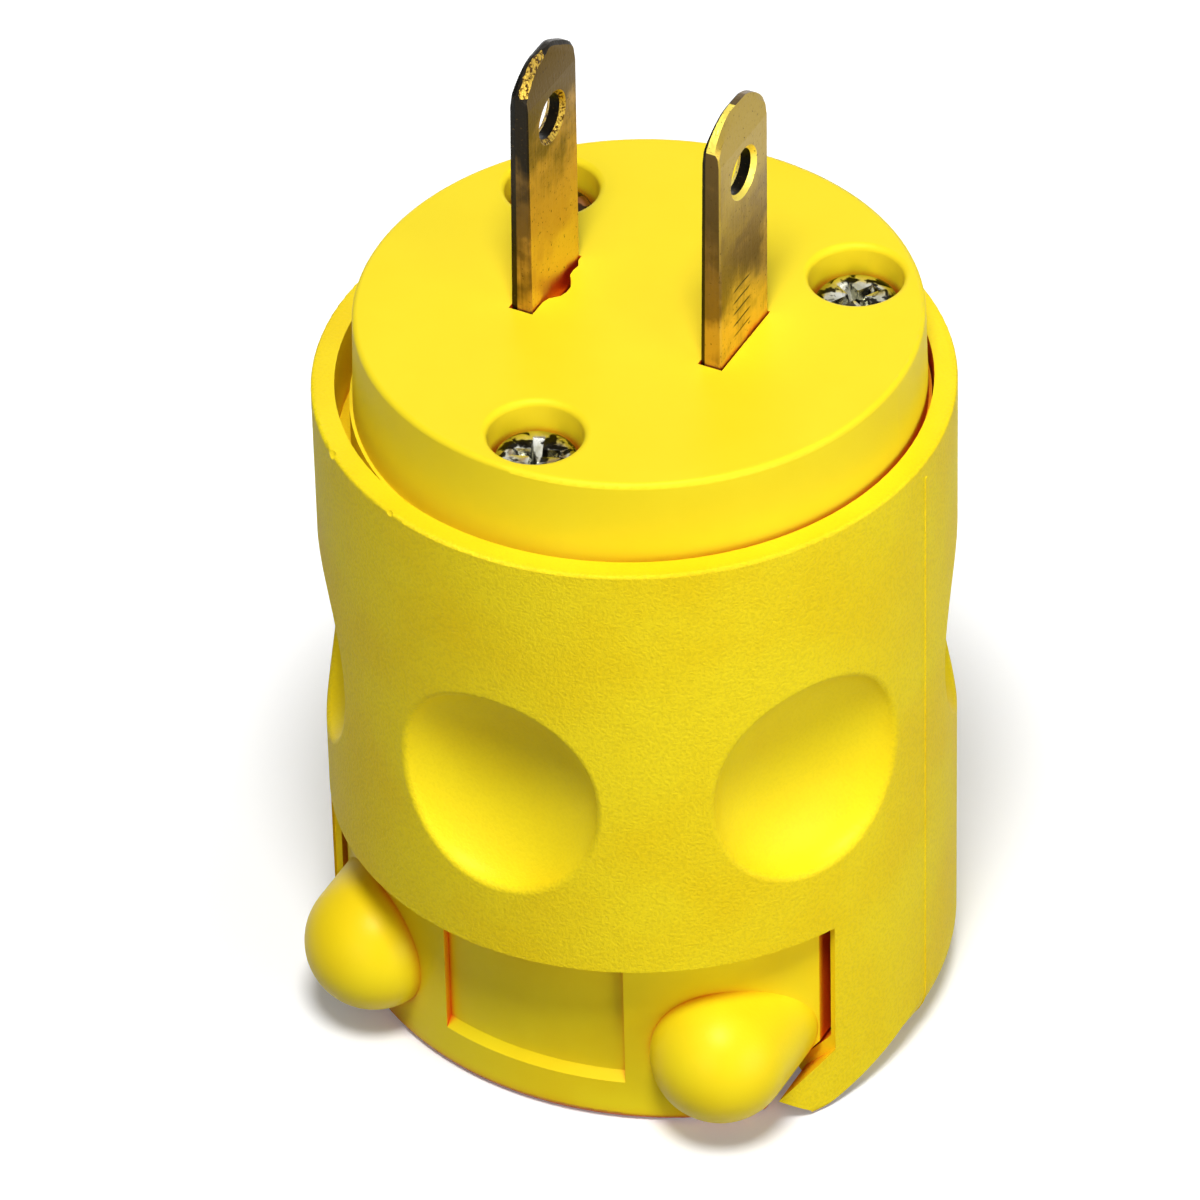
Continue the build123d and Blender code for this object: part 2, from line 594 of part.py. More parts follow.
def make_clamp_screw(side):
    """Pan-head screw from the back of the body into the clamp's nut."""
    x = side * DOME_X
    head_top = CLAMP_SEAT_Y + CLAMP_HEAD_HEIGHT
    head = along_y(x, DOME_Z, CLAMP_SEAT_Y + FIT_GAP, head_top, CLAMP_HEAD / 2)
    head = fillet(head.edges().filter_by(GeomType.CIRCLE).sort_by(Axis.Y)[-1], CLAMP_HEAD_ROUND)
    for size in ((CROSS_LENGTH, CROSS_WIDTH), (CROSS_WIDTH, CROSS_LENGTH)):
        head = head - Pos(x, head_top, DOME_Z) * Box(size[0], 2 * CROSS_DEPTH, size[1])
    return head + along_y(x, DOME_Z, CLAMP_TIP_Y, CLAMP_SEAT_Y + 0.3, CLAMP_SHANK / 2)


def main():
    """Build every piece and write one STEP file for each."""
    os.makedirs("parts", exist_ok=True)
    parts = {
        "body_shell": make_body(),
        "face_cover": make_cover(),
        "terminal_carrier": make_carrier(),
        "cord_clamp": make_clamp(),
    }
    for name in SCREW_ANGLES:
        parts[f"face_screw_{name}"] = make_face_screw(name)
        parts[f"insert_{name}"] = make_insert(name)
    for side, word in ((-1, "left"), (1, "right")):
        parts[f"blade_{word}"] = make_blade(side)
        parts[f"terminal_screw_{word}"] = make_terminal_screw(side)
        parts[f"pressure_plate_{word}"] = make_plate(side)
        parts[f"clamp_screw_{word}"] = make_clamp_screw(side)
        parts[f"clamp_nut_{word}"] = make_nut(side)
    for name, shape in parts.items():
        export_step(shape, f"parts/{name}.step")


main()
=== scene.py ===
"""Studio picture of a yellow straight blade plug, standing on its cord end."""

import logging
import math
from collections.abc import Callable, Iterable
from dataclasses import dataclass
from enum import Enum
from typing import Any

import bmesh
import bpy
from mathutils import Matrix, Vector
from mathutils.bvhtree import BVHTree
from mathutils.interpolate import poly_3d_calc

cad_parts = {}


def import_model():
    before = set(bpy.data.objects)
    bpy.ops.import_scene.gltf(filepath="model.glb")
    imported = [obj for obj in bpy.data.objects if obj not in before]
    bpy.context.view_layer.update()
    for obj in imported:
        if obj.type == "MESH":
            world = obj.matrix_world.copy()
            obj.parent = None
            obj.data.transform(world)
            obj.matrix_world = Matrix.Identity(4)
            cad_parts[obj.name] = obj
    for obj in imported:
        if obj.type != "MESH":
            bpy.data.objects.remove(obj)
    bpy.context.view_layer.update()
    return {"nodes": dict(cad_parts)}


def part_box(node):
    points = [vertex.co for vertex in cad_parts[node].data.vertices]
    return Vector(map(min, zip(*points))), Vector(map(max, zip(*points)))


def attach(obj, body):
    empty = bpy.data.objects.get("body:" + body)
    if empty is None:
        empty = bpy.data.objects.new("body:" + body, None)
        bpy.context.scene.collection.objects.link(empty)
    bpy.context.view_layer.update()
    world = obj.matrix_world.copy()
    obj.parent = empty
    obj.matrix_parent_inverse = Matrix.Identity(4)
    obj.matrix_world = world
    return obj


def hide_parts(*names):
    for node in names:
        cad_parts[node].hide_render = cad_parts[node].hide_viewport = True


log = logging.getLogger("plug")

MM = 0.001


# Helpers for colours, nodes and meshes


def linear(hex_colour: str) -> tuple[float, float, float, float]:
    """Turn an sRGB hex colour into linear RGBA.

    Args:
        hex_colour: six hex digits after a hash.

    Returns:
        The linear colour with full opacity.
    """
    channels = [int(hex_colour[i : i + 2], 16) / 255 for i in (1, 3, 5)]
    curve = [c / 12.92 if c <= 0.04045 else ((c + 0.055) / 1.055) ** 2.4 for c in channels]
    return curve[0], curve[1], curve[2], 1.0


def per_size(size_mm: float) -> float:
    """Scale of a noise on metre coordinates whose grains are size_mm across."""
    return 1.0 / (size_mm * MM)


def add_node(
    tree: bpy.types.NodeTree, kind: str, inputs: dict[str | int, Any] | None = None, **settings: Any
) -> bpy.types.Node:
    """Add a node, set its properties, and fill or link its inputs.

    Args:
        tree: the tree that gets the node.
        kind: the node's type.
        inputs: a value or an output socket for each named or numbered input.
        settings: properties of the node itself.

    Returns:
        The new node.
    """
    node = tree.nodes.new(kind)
    for name, value in settings.items():
        setattr(node, name, value)
    for key, value in (inputs or {}).items():
        if isinstance(value, bpy.types.NodeSocket):
            tree.links.new(value, node.inputs[key])
        else:
            node.inputs[key].default_value = value
    return node


def link_object(name: str, data: bpy.types.ID | None) -> bpy.types.Object:
    """Make an object of the data and put it in the scene.

    Args:
        name: the object's name.
        data: its mesh, lamp or camera.

    Returns:
        The new object.
    """
    made = bpy.data.objects.new(name, data)
    bpy.context.scene.collection.objects.link(made)
    return made


def mesh_object(name: str, mesh: bmesh.types.BMesh, material: bpy.types.Material) -> bpy.types.Object:
    """Turn a bmesh into a finished object with one material.

    Args:
        name: the object's name.
        mesh: the shape in metres, freed here.
        material: the finish of every face.

    Returns:
        The object, shaded smooth between sharp edges.
    """
    bmesh.ops.recalc_face_normals(mesh, faces=mesh.faces)
    data = bpy.data.meshes.new(name)
    mesh.to_mesh(data)
    mesh.free()
    data.shade_smooth()
    data.set_sharp_from_angle(angle=math.radians(32))
    data.materials.append(material)
    return link_object(name, data)


def settle(piece: bpy.types.Object) -> bpy.types.Object:
    """Replace an object's mesh by its evaluated one, and drop its modifiers.

    Args:
        piece: an object whose modifiers are ready.

    Returns:
        The same object, now a plain mesh.
    """
    bpy.context.view_layer.update()
    evaluated = piece.evaluated_get(bpy.context.evaluated_depsgraph_get())
    baked = bpy.data.meshes.new_from_object(evaluated)
    piece.modifiers.clear()
    piece.data = baked
    baked.name = piece.name
    return piece


def carve(piece: bpy.types.Object, cutter: bpy.types.Object) -> None:
    """Take a closed cutter out of a piece, at a hundred times life size, and remove the cutter.

    Args:
        piece: the piece that gets the hole.
        cutter: the shape of the hole.
    """
    for solid in (piece, cutter):
        solid.data.transform(Matrix.Scale(100, 4))
    cut = piece.modifiers.new("recess", "BOOLEAN")
    cut.object = cutter
    cut.solver = "EXACT"
    settle(piece)
    piece.data.transform(Matrix.Scale(0.01, 4))
    bpy.data.objects.remove(cutter)


def surface(tree: bpy.types.NodeTree, shader: bpy.types.Node) -> None:
    """Connect a shader to the material's output."""
    add_node(tree, "ShaderNodeOutputMaterial", {"Surface": shader.outputs[0]})


def blank_material(name: str) -> bpy.types.Material:
    """Make a material with an empty node tree.

    Args:
        name: the material's name.

    Returns:
        The material, ready for its nodes.
    """
    material = bpy.data.materials.new(name)
    material.use_nodes = True
    material.node_tree.nodes.clear()
    return material


def ramp(
    tree: bpy.types.NodeTree, value: bpy.types.NodeSocket, low: float, high: float
) -> bpy.types.NodeSocket:
    """Smooth step of a value from 0 at low to 1 at high."""
    limits = {"Value": value, "From Min": low, "From Max": high}
    return add_node(tree, "ShaderNodeMapRange", limits, interpolation_type="SMOOTHSTEP").outputs[0]


def blend_colour(
    tree: bpy.types.NodeTree, share: bpy.types.NodeSocket | float, first: Any, second: Any, mode: str = "MIX"
) -> bpy.types.NodeSocket:
    """Mix two colours.

    Args:
        tree: the material's tree.
        share: how much of the second colour shows.
        first: colour or socket.
        second: colour or socket.
        mode: blend type of the mix.

    Returns:
        The mixed colour's socket.
    """
    mix = add_node(tree, "ShaderNodeMix", {0: share, 6: first, 7: second}, data_type="RGBA", blend_type=mode)
    return mix.outputs[2]


def maths(tree: bpy.types.NodeTree, operation: str, *values: Any) -> bpy.types.NodeSocket:
    """Result of one math operation on sockets or numbers."""
    return add_node(tree, "ShaderNodeMath", dict(enumerate(values)), operation=operation).outputs[0]


# Finishes


class Skin(Enum):
    """Which parts of the moulded vinyl are spark-eroded and which are polished."""

    GRAINED_WALL = "grained wall"
    SATIN = "satin"


@dataclass(frozen=True)
class MouldedVinyl:
    """Injection moulded PVC: dense saturated yellow with a soft plastic sheen and a fine mould grain."""

    name: str
    skin: Skin
    colour: str = "#fde41e"
    shade: str = "#f9d915"
    cloud_mm: float = 9.0
    painted_crevice_shade: str = "#e2540a"
    crevice_mm: float = 1.1
    crevice_open: float = 0.5
    crevice_shut: float = 0.12
    grain_mm: float = 0.2
    grain_depth_mm: float = 0.06
    satin_share: float = 0.15
    dimple_share: float = 0.35
    valley_colour: str = "#b0941a"
    valley_share: float = 0.15
    wall_radius_mm: float = 19.5
    wall_roughness: float = 0.56
    satin_roughness: float = 0.4
    gloss: float = 0.12

    def material(self) -> bpy.types.Material:
        """Build the material.

        Returns:
            The yellow vinyl, grained on the outer wall where the skin says so.
        """
        made = blank_material(self.name)
        tree = made.node_tree
        place = add_node(tree, "ShaderNodeTexCoord").outputs["Object"]
        # Slow cloudiness of the melt keeps the colour from being flat
        cloud_settings = {"Vector": place, "Scale": per_size(self.cloud_mm), "Detail": 3.0}
        cloud = add_node(tree, "ShaderNodeTexNoise", cloud_settings).outputs["Fac"]
        colour = blend_colour(tree, ramp(tree, cloud, 0.35, 0.7), linear(self.colour), linear(self.shade))
        # Painted shade: tight gaps between mouldings, found by ambient occlusion, are painted orange, the
        # colour that light takes on when it bounces between two yellow walls
        gap = add_node(tree, "ShaderNodeAmbientOcclusion", {"Distance": self.crevice_mm * MM}, samples=8)
        glow = ramp(tree, gap.outputs["AO"], self.crevice_open, self.crevice_shut)
        colour = blend_colour(tree, glow, colour, linear(self.painted_crevice_shade))
        grain_settings = {"Vector": place, "Scale": per_size(self.grain_mm), "Detail": 2.0, "Roughness": 0.6}
        grain = add_node(tree, "ShaderNodeTexNoise", grain_settings).outputs["Fac"]
        inputs = {"Base Color": colour, "IOR": 1.53, "Specular IOR Level": self.gloss}
        relief = {"Height": grain, "Strength": 1.0, "Distance": self.grain_depth_mm * MM}
        if self.skin is Skin.GRAINED_WALL:
            mask = self._grain_mask(tree, place)
            # The valleys of the spark-eroded grain are painted a darker olive and show as fine dark dots
            valleys = maths(tree, "MULTIPLY", ramp(tree, grain, 0.58, 0.36), mask)
            darker_valleys = maths(tree, "MULTIPLY", valleys, self.valley_share)
            inputs["Base Color"] = blend_colour(tree, darker_valleys, colour, linear(self.valley_colour))
            relief["Height"] = maths(tree, "MULTIPLY", grain, mask)
            rougher = self.wall_roughness - self.satin_roughness
            inputs["Roughness"] = maths(tree, "MULTIPLY_ADD", mask, rougher, self.satin_roughness)
        else:
            relief["Distance"] = self.grain_depth_mm * self.satin_share * MM
            inputs["Roughness"] = self.satin_roughness
        inputs["Normal"] = add_node(tree, "ShaderNodeBump", relief).outputs[0]
        surface(tree, add_node(tree, "ShaderNodeBsdfPrincipled", inputs))
        return made

    def _grain_mask(self, tree: bpy.types.NodeTree, place: bpy.types.NodeSocket) -> bpy.types.NodeSocket:
        """Mask of the grained skin.

        Args:
            tree: the material's tree.
            place: object coordinates.

        Returns:
            1 on the outer wall and a third of that in the smoother dimples.
        """
        flat = add_node(tree, "ShaderNodeVectorMath", {0: place, 1: (1.0, 1.0, 0.0)}, operation="MULTIPLY")
        length = add_node(tree, "ShaderNodeVectorMath", {0: flat.outputs[0]}, operation="LENGTH")
        edge = self.wall_radius_mm * MM
        wall = ramp(tree, length.outputs["Value"], edge - 0.5 * MM, edge - 0.06 * MM)
        return maths(tree, "MULTIPLY_ADD", wall, 1 - self.dimple_share, self.dimple_share)


class Zone(Enum):
    """Parts of a stamped blade that the press tool leaves with different skins."""

    FACE = "rolled face"
    EDGE = "sheared edge"
    COINED = "coined corner"
    # Painted shade: the torn bore and burr are painted near black
    TORN = "torn bore and burr"


@dataclass(frozen=True)
class StampedBrass:
    """Cold rolled and stamped brass: gold at the foot, with painted darker reflections that turn it olive and
    brown toward the tip.
    """

    name: str
    zone: Zone
    foot: str
    middle: str
    tip: str
    fleck: str = "#4a3a1c"
    flecked: float = 0.62
    turn_mm: tuple[float, float] = (6.5, 13.5)
    painted_foot_reflection: str | None = None
    scuffed: bool = False
    roughness: float = 0.4
    coarse_mm: float = 0.03
    cloud_mm: float = 2.2
    cloud_climb_mm: float = 13.0
    line_mm: float = 0.18
    line_climb_mm: float = 3.0
    speckle_mm: float = 0.2
    face_top_mm: float = 50.3

    def material(self) -> bpy.types.Material:
        """Build the material.

        Returns:
            The brass, darkened by painted reflections as the height above the cover grows.
        """
        made = blank_material(self.name)
        tree = made.node_tree
        place = add_node(tree, "ShaderNodeTexCoord").outputs["Object"]
        height = add_node(tree, "ShaderNodeSeparateXYZ", {0: place}).outputs[2]
        height = maths(tree, "SUBTRACT", maths(tree, "DIVIDE", height, MM), self.face_top_mm)
        cloud = self._noise(tree, place, self.cloud_mm, 4.0)
        speckle = self._noise(tree, place, self.speckle_mm, 3.0)
        # Draw lines run along the strip, so the pattern is stretched thirty times along Z
        drawn = add_node(tree, "ShaderNodeMapping", {"Vector": place, "Scale": (1.0, 1.0, 0.033)})
        lines = self._noise(tree, drawn.outputs[0], self.line_mm, 3.0)

        # The painted darkening climbs unevenly: the clouds move its border by some 5 mm, the draw lines by 1
        # mm
        level = maths(tree, "MULTIPLY_ADD", maths(tree, "SUBTRACT", cloud, 0.5), self.cloud_climb_mm, height)
        level = maths(tree, "MULTIPLY_ADD", maths(tree, "SUBTRACT", lines, 0.5), self.line_climb_mm, level)
        low, high = self.turn_mm
        # Painted reflection: the foot's gold turns to the darker middle and tip colours higher up
        colour = blend_colour(tree, ramp(tree, level, 0.5, low), linear(self.foot), linear(self.middle))
        colour = blend_colour(tree, ramp(tree, level, low + 0.5, high), colour, linear(self.tip))
        flecks = ramp(tree, speckle, self.flecked, self.flecked + 0.14)
        colour = blend_colour(tree, flecks, colour, linear(self.fleck))
        relief = maths(tree, "MULTIPLY_ADD", speckle, 0.5, maths(tree, "MULTIPLY", lines, 0.5))
        if self.scuffed:
            scuffs = self._scuffs(tree, place, height)
            colour = blend_colour(tree, scuffs, colour, linear(self.fleck))
            relief = maths(tree, "MULTIPLY_ADD", scuffs, -0.8, relief)
        if self.painted_foot_reflection:
            # Painted reflection: the foot is painted orange where the yellow cover beneath it is reflected
            foot = ramp(tree, maths(tree, "MULTIPLY_ADD", cloud, 1.6, height), 1.5, 0.7)
            colour = blend_colour(tree, foot, colour, linear(self.painted_foot_reflection))
        dents = {"Height": relief, "Strength": 0.9, "Distance": self.coarse_mm * MM}
        bump = add_node(tree, "ShaderNodeBump", dents)
        rough = maths(tree, "MULTIPLY_ADD", speckle, 0.16, self.roughness - 0.08)
        shader = add_node(
            tree,
            "ShaderNodeBsdfPrincipled",
            {"Base Color": colour, "Metallic": 1.0, "Roughness": rough, "Normal": bump.outputs[0]},
        )
        surface(tree, shader)
        return made

    def _noise(
        self, tree: bpy.types.NodeTree, place: bpy.types.NodeSocket, size_mm: float, detail: float
    ) -> bpy.types.NodeSocket:
        """Noise whose grains are size_mm across."""
        settings = {"Vector": place, "Scale": per_size(size_mm), "Detail": detail}
        return add_node(tree, "ShaderNodeTexNoise", settings).outputs["Fac"]

    def _scuffs(
        self, tree: bpy.types.NodeTree, place: bpy.types.NodeSocket, height: bpy.types.NodeSocket
    ) -> bpy.types.NodeSocket:
        """Mask of short scuffs across the strip.

        Args:
            tree: the material's tree.
            place: object coordinates.
            height: millimetres above the cover.

        Returns:
            1 in the scuffs, 0 elsewhere.
        """
        # A wave's bands are 0.314 / scale apart, and these scuffs are some 0.8 mm apart
        bands = {"Vector": place, "Scale": 0.314 / (0.8 * MM), "Distortion": 2.2, "Detail": 2.0}
        bands["Detail Scale"] = 0.5
        waves = add_node(tree, "ShaderNodeTexWave", bands, bands_direction="Z").outputs["Fac"]
        thin = ramp(tree, waves, 0.88, 0.97)
        across = maths(tree, "DIVIDE", add_node(tree, "ShaderNodeSeparateXYZ", {0: place}).outputs[1], MM)
        window = maths(tree, "MULTIPLY", ramp(tree, across, -1.7, -1.2), ramp(tree, across, 0.9, 0.3))
        band = maths(tree, "MULTIPLY", ramp(tree, height, 1.0, 1.4), ramp(tree, height, 5.4, 4.8))
        return maths(tree, "MULTIPLY", thin, maths(tree, "MULTIPLY", window, band))


@dataclass(frozen=True)
class PlainMetal:
    """Small turned or stamped hardware: a bright metal with faint tool marks."""

    name: str
    colour: str
    tint: str
    roughness: float
    mark_mm: float = 0.25
    mottle_mm: float = 1.1
    stain: str | None = None
    stain_mm: float = 0.9

    def material(self) -> bpy.types.Material:
        """Build the material.

        Returns:
            The metal, slightly mottled, with its tool marks as a shallow bump.
        """
        made = blank_material(self.name)
        tree = made.node_tree
        place = add_node(tree, "ShaderNodeTexCoord").outputs["Object"]
        mottle = self._noise(tree, place, self.mottle_mm, 5.0)
        marks = self._noise(tree, place, self.mark_mm, 3.0)
        colour = blend_colour(tree, ramp(tree, mottle, 0.35, 0.7), linear(self.colour), linear(self.tint))
        if self.stain:
            # Dark film left by handling and by the driver, in patches with crisp borders
            film = self._noise(tree, place, self.stain_mm, 3.0, 0.6)
            colour = blend_colour(tree, ramp(tree, film, 0.47, 0.56), colour, linear(self.stain))
        rough = maths(tree, "MULTIPLY_ADD", marks, 0.16, self.roughness - 0.08)
        bump = add_node(tree, "ShaderNodeBump", {"Height": marks, "Strength": 0.5, "Distance": 0.008 * MM})
        shader = add_node(
            tree,
            "ShaderNodeBsdfPrincipled",
            {"Base Color": colour, "Metallic": 1.0, "Roughness": rough, "Normal": bump.outputs[0]},
        )
        surface(tree, shader)
        return made

    def _noise(
        self,
        tree: bpy.types.NodeTree,
        place: bpy.types.NodeSocket,
        size_mm: float,
        detail: float,
        distortion: float = 0.0,
    ) -> bpy.types.NodeSocket:
        """Noise whose grains are size_mm across."""
        settings = {"Vector": place, "Scale": per_size(size_mm), "Detail": detail, "Distortion": distortion}
        return add_node(tree, "ShaderNodeTexNoise", settings).outputs["Fac"]


@dataclass(frozen=True)
class MouldedPhenolic:
    """Compression moulded phenolic: near black with a dull sheen and pale filler specks."""

    name: str = "moulded_black_phenolic"
    colour: str = "#1c1b1a"
    speck: str = "#3a3733"
    speck_mm: float = 0.3

    def material(self) -> bpy.types.Material:
        """Build the material.

        Returns:
            The dark moulding with its specks.
        """
        made = blank_material(self.name)
        tree = made.node_tree
        place = add_node(tree, "ShaderNodeTexCoord").outputs["Object"]
        specks = add_node(
            tree, "ShaderNodeTexNoise", {"Vector": place, "Scale": per_size(self.speck_mm), "Detail": 2.0}
        ).outputs["Fac"]
        colour = blend_colour(tree, ramp(tree, specks, 0.6, 0.72), linear(self.colour), linear(self.speck))
        bump = add_node(tree, "ShaderNodeBump", {"Height": specks, "Strength": 0.4, "Distance": 0.01 * MM})
        shader = add_node(
            tree,
            "ShaderNodeBsdfPrincipled",
            {"Base Color": colour, "Roughness": 0.42, "Normal": bump.outputs[0], "IOR": 1.6},
        )
        surface(tree, shader)
        return made


# Hardware shapes


def turned(profile: Iterable[tuple[float, float]], segments: int) -> bmesh.types.BMesh:
    """Spin an open profile about Z into a closed shape.

    Args:
        profile: radius and height pairs in millimetres, starting and ending on the axis.
        segments: steps around.

    Returns:
        The turned shape in metres.
    """
    shape = bmesh.new()
    rings: list[list[bmesh.types.BMVert]] = []
    for radius, z in profile:
        steps = segments if radius > 1e-6 else 1
        ring = []
        for i in range(steps):
            angle = 2 * math.pi * i / segments
            spot = (radius * math.cos(angle), radius * math.sin(angle), z)
            ring.append(shape.verts.new([value * MM for value in spot]))
        rings.append(ring)
    for low, high in zip(rings, rings[1:]):
        for i in range(segments):
            j = (i + 1) % segments
            corners = [low[i % len(low)], low[j % len(low)], high[j % len(high)], high[i % len(high)]]
            shape.faces.new(list(dict.fromkeys(corners)))
    return shape


def threaded_rod(
    radius: float, depth: float, pitch: float, z0: float, z1: float, segments: int
) -> bmesh.types.BMesh:
    """Rod with a helical V thread that fades out at both ends.

    Args:
        radius: over the crests, in millimetres.
        depth: of the thread.
        pitch: rise of one turn.
        z0: lower end.
        z1: upper end.
        segments: steps around.

    Returns:
        The closed rod in metres.
    """
    shape = bmesh.new()
    steps = max(8, round((z1 - z0) / pitch * 6))
    rings = []
    for k in range(steps + 1):
        z = z0 + (z1 - z0) * k / steps
        fade = min(1.0, (z - z0) / pitch, (z1 - z) / pitch)
        ring = []
        for i in range(segments):
            turn = i / segments
            wave = abs(((z / pitch - turn) % 1.0) * 2 - 1)
            r = (radius - depth + depth * wave * max(fade, 0.0)) * MM
            angle = 2 * math.pi * turn
            ring.append(shape.verts.new((r * math.cos(angle), r * math.sin(angle), z * MM)))
        rings.append(ring)
    for low, high in zip(rings, rings[1:]):
        for i in range(segments):
            j = (i + 1) % segments
            shape.faces.new((low[i], low[j], high[j], high[i]))
    shape.faces.new(list(reversed(rings[0])))
    shape.faces.new(rings[-1])
    return shape


def joined(parts: Iterable[bmesh.types.BMesh]) -> bmesh.types.BMesh:
    """Put several closed shapes into one mesh and free them.

    Args:
        parts: the shapes, each closed by itself.

    Returns:
        One mesh of them all, with normals outwards.
    """
    whole = bmesh.new()
    for part in parts:
        bmesh.ops.recalc_face_normals(part, faces=part.faces)
        data = bpy.data.meshes.new("part")
        part.to_mesh(data)
        part.free()
        whole.from_mesh(data)
        bpy.data.meshes.remove(data)
    return whole


@dataclass
class CrossHeadScrew:
    """Round-headed screw with a cross recess, its head's underside at z = 0 and its shank below."""

    name: str
    head: float
    head_height: float
    dome: float
    shank: float
    length: float
    pitch: float
    cross: float
    cross_width: float
    cross_depth: float
    plain: float = 0.0
    thread_depth: float = 0.22
    edge_round: float = 0.04
    around: int = 28

    def build(self, material: bpy.types.Material) -> bpy.types.Object:
        """Build one screw about the Z axis.

        Args:
            material: its finish.

        Returns:
            The screw as a plain mesh object.
        """
        head = mesh_object(self.name, self._head(), material)
        for turn in (0.0, math.pi / 2):
            carve(head, mesh_object(self.name + "_wing", self._wing(turn), material))
        hub = self.cross_width * 0.8
        floor = self.head_height - self.cross_depth
        mouth = self.head_height + 0.5
        cone = [(0, floor - 0.25), (hub * 0.5, floor + 0.02), (hub * 1.2, mouth), (0, mouth)]
        carve(head, mesh_object(self.name + "_cone", turned(cone, 20), material))
        soft = head.modifiers.new("soft", "BEVEL")
        soft.width = self.edge_round * MM
        soft.segments = 2
        soft.limit_method = "ANGLE"
        soft.angle_limit = math.radians(38)
        settle(head)
        crest = self.shank / 2
        shank = threaded_rod(crest, self.thread_depth, self.pitch, -self.length, -self.plain, self.around)
        neck, low, high = crest - 0.1, -self.plain - 0.2, 0.3
        collar = turned([(0, low), (neck, low), (neck, high), (0, high)], self.around)
        whole = joined([shank, collar])
        whole.from_mesh(head.data)
        whole.to_mesh(head.data)
        whole.free()
        head.data.shade_smooth()
        head.data.set_sharp_from_angle(angle=math.radians(32))
        return head

    def _head(self) -> bmesh.types.BMesh:
        """Turn the head: a short straight skirt under a flattened dome.

        Returns:
            The closed head without its recess.
        """
        r, h = self.head / 2, self.head_height
        inner, shoulder = r - self.dome, h - self.dome
        corner = [math.radians(9 * i) for i in range(11)]
        crown = [(inner + self.dome * math.cos(a), shoulder + self.dome * math.sin(a)) for a in corner]
        return turned([(0, 0), (r - 0.12, 0), (r, 0.12), *crown, (0, h)], 72)

    def _wing(self, turn: float) -> bmesh.types.BMesh:
        """One tapering wing of the recess.

        Args:
            turn: about the screw's axis, in radians.

        Returns:
            The wing as a closed frustum.
        """
        top = self.head_height + 0.4
        floor = self.head_height - self.cross_depth
        wing = bmesh.new()
        loops = []
        for z, half, width in (
            (floor, self.cross * 0.24, self.cross_width * 0.36),
            (top, self.cross * 0.56, self.cross_width * 0.55),
        ):
            corners = ((-half, -width), (half, -width), (half, width), (-half, width))
            loops.append([wing.verts.new((x * MM, y * MM, z * MM)) for x, y in corners])
        wing.faces.new(list(reversed(loops[0])))
        wing.faces.new(loops[1])
        for i in range(4):
            j = (i + 1) % 4
            wing.faces.new((loops[0][i], loops[0][j], loops[1][j], loops[1][i]))
        bmesh.ops.rotate(wing, verts=wing.verts, matrix=Matrix.Rotation(turn, 3, "Z"))
        return wing


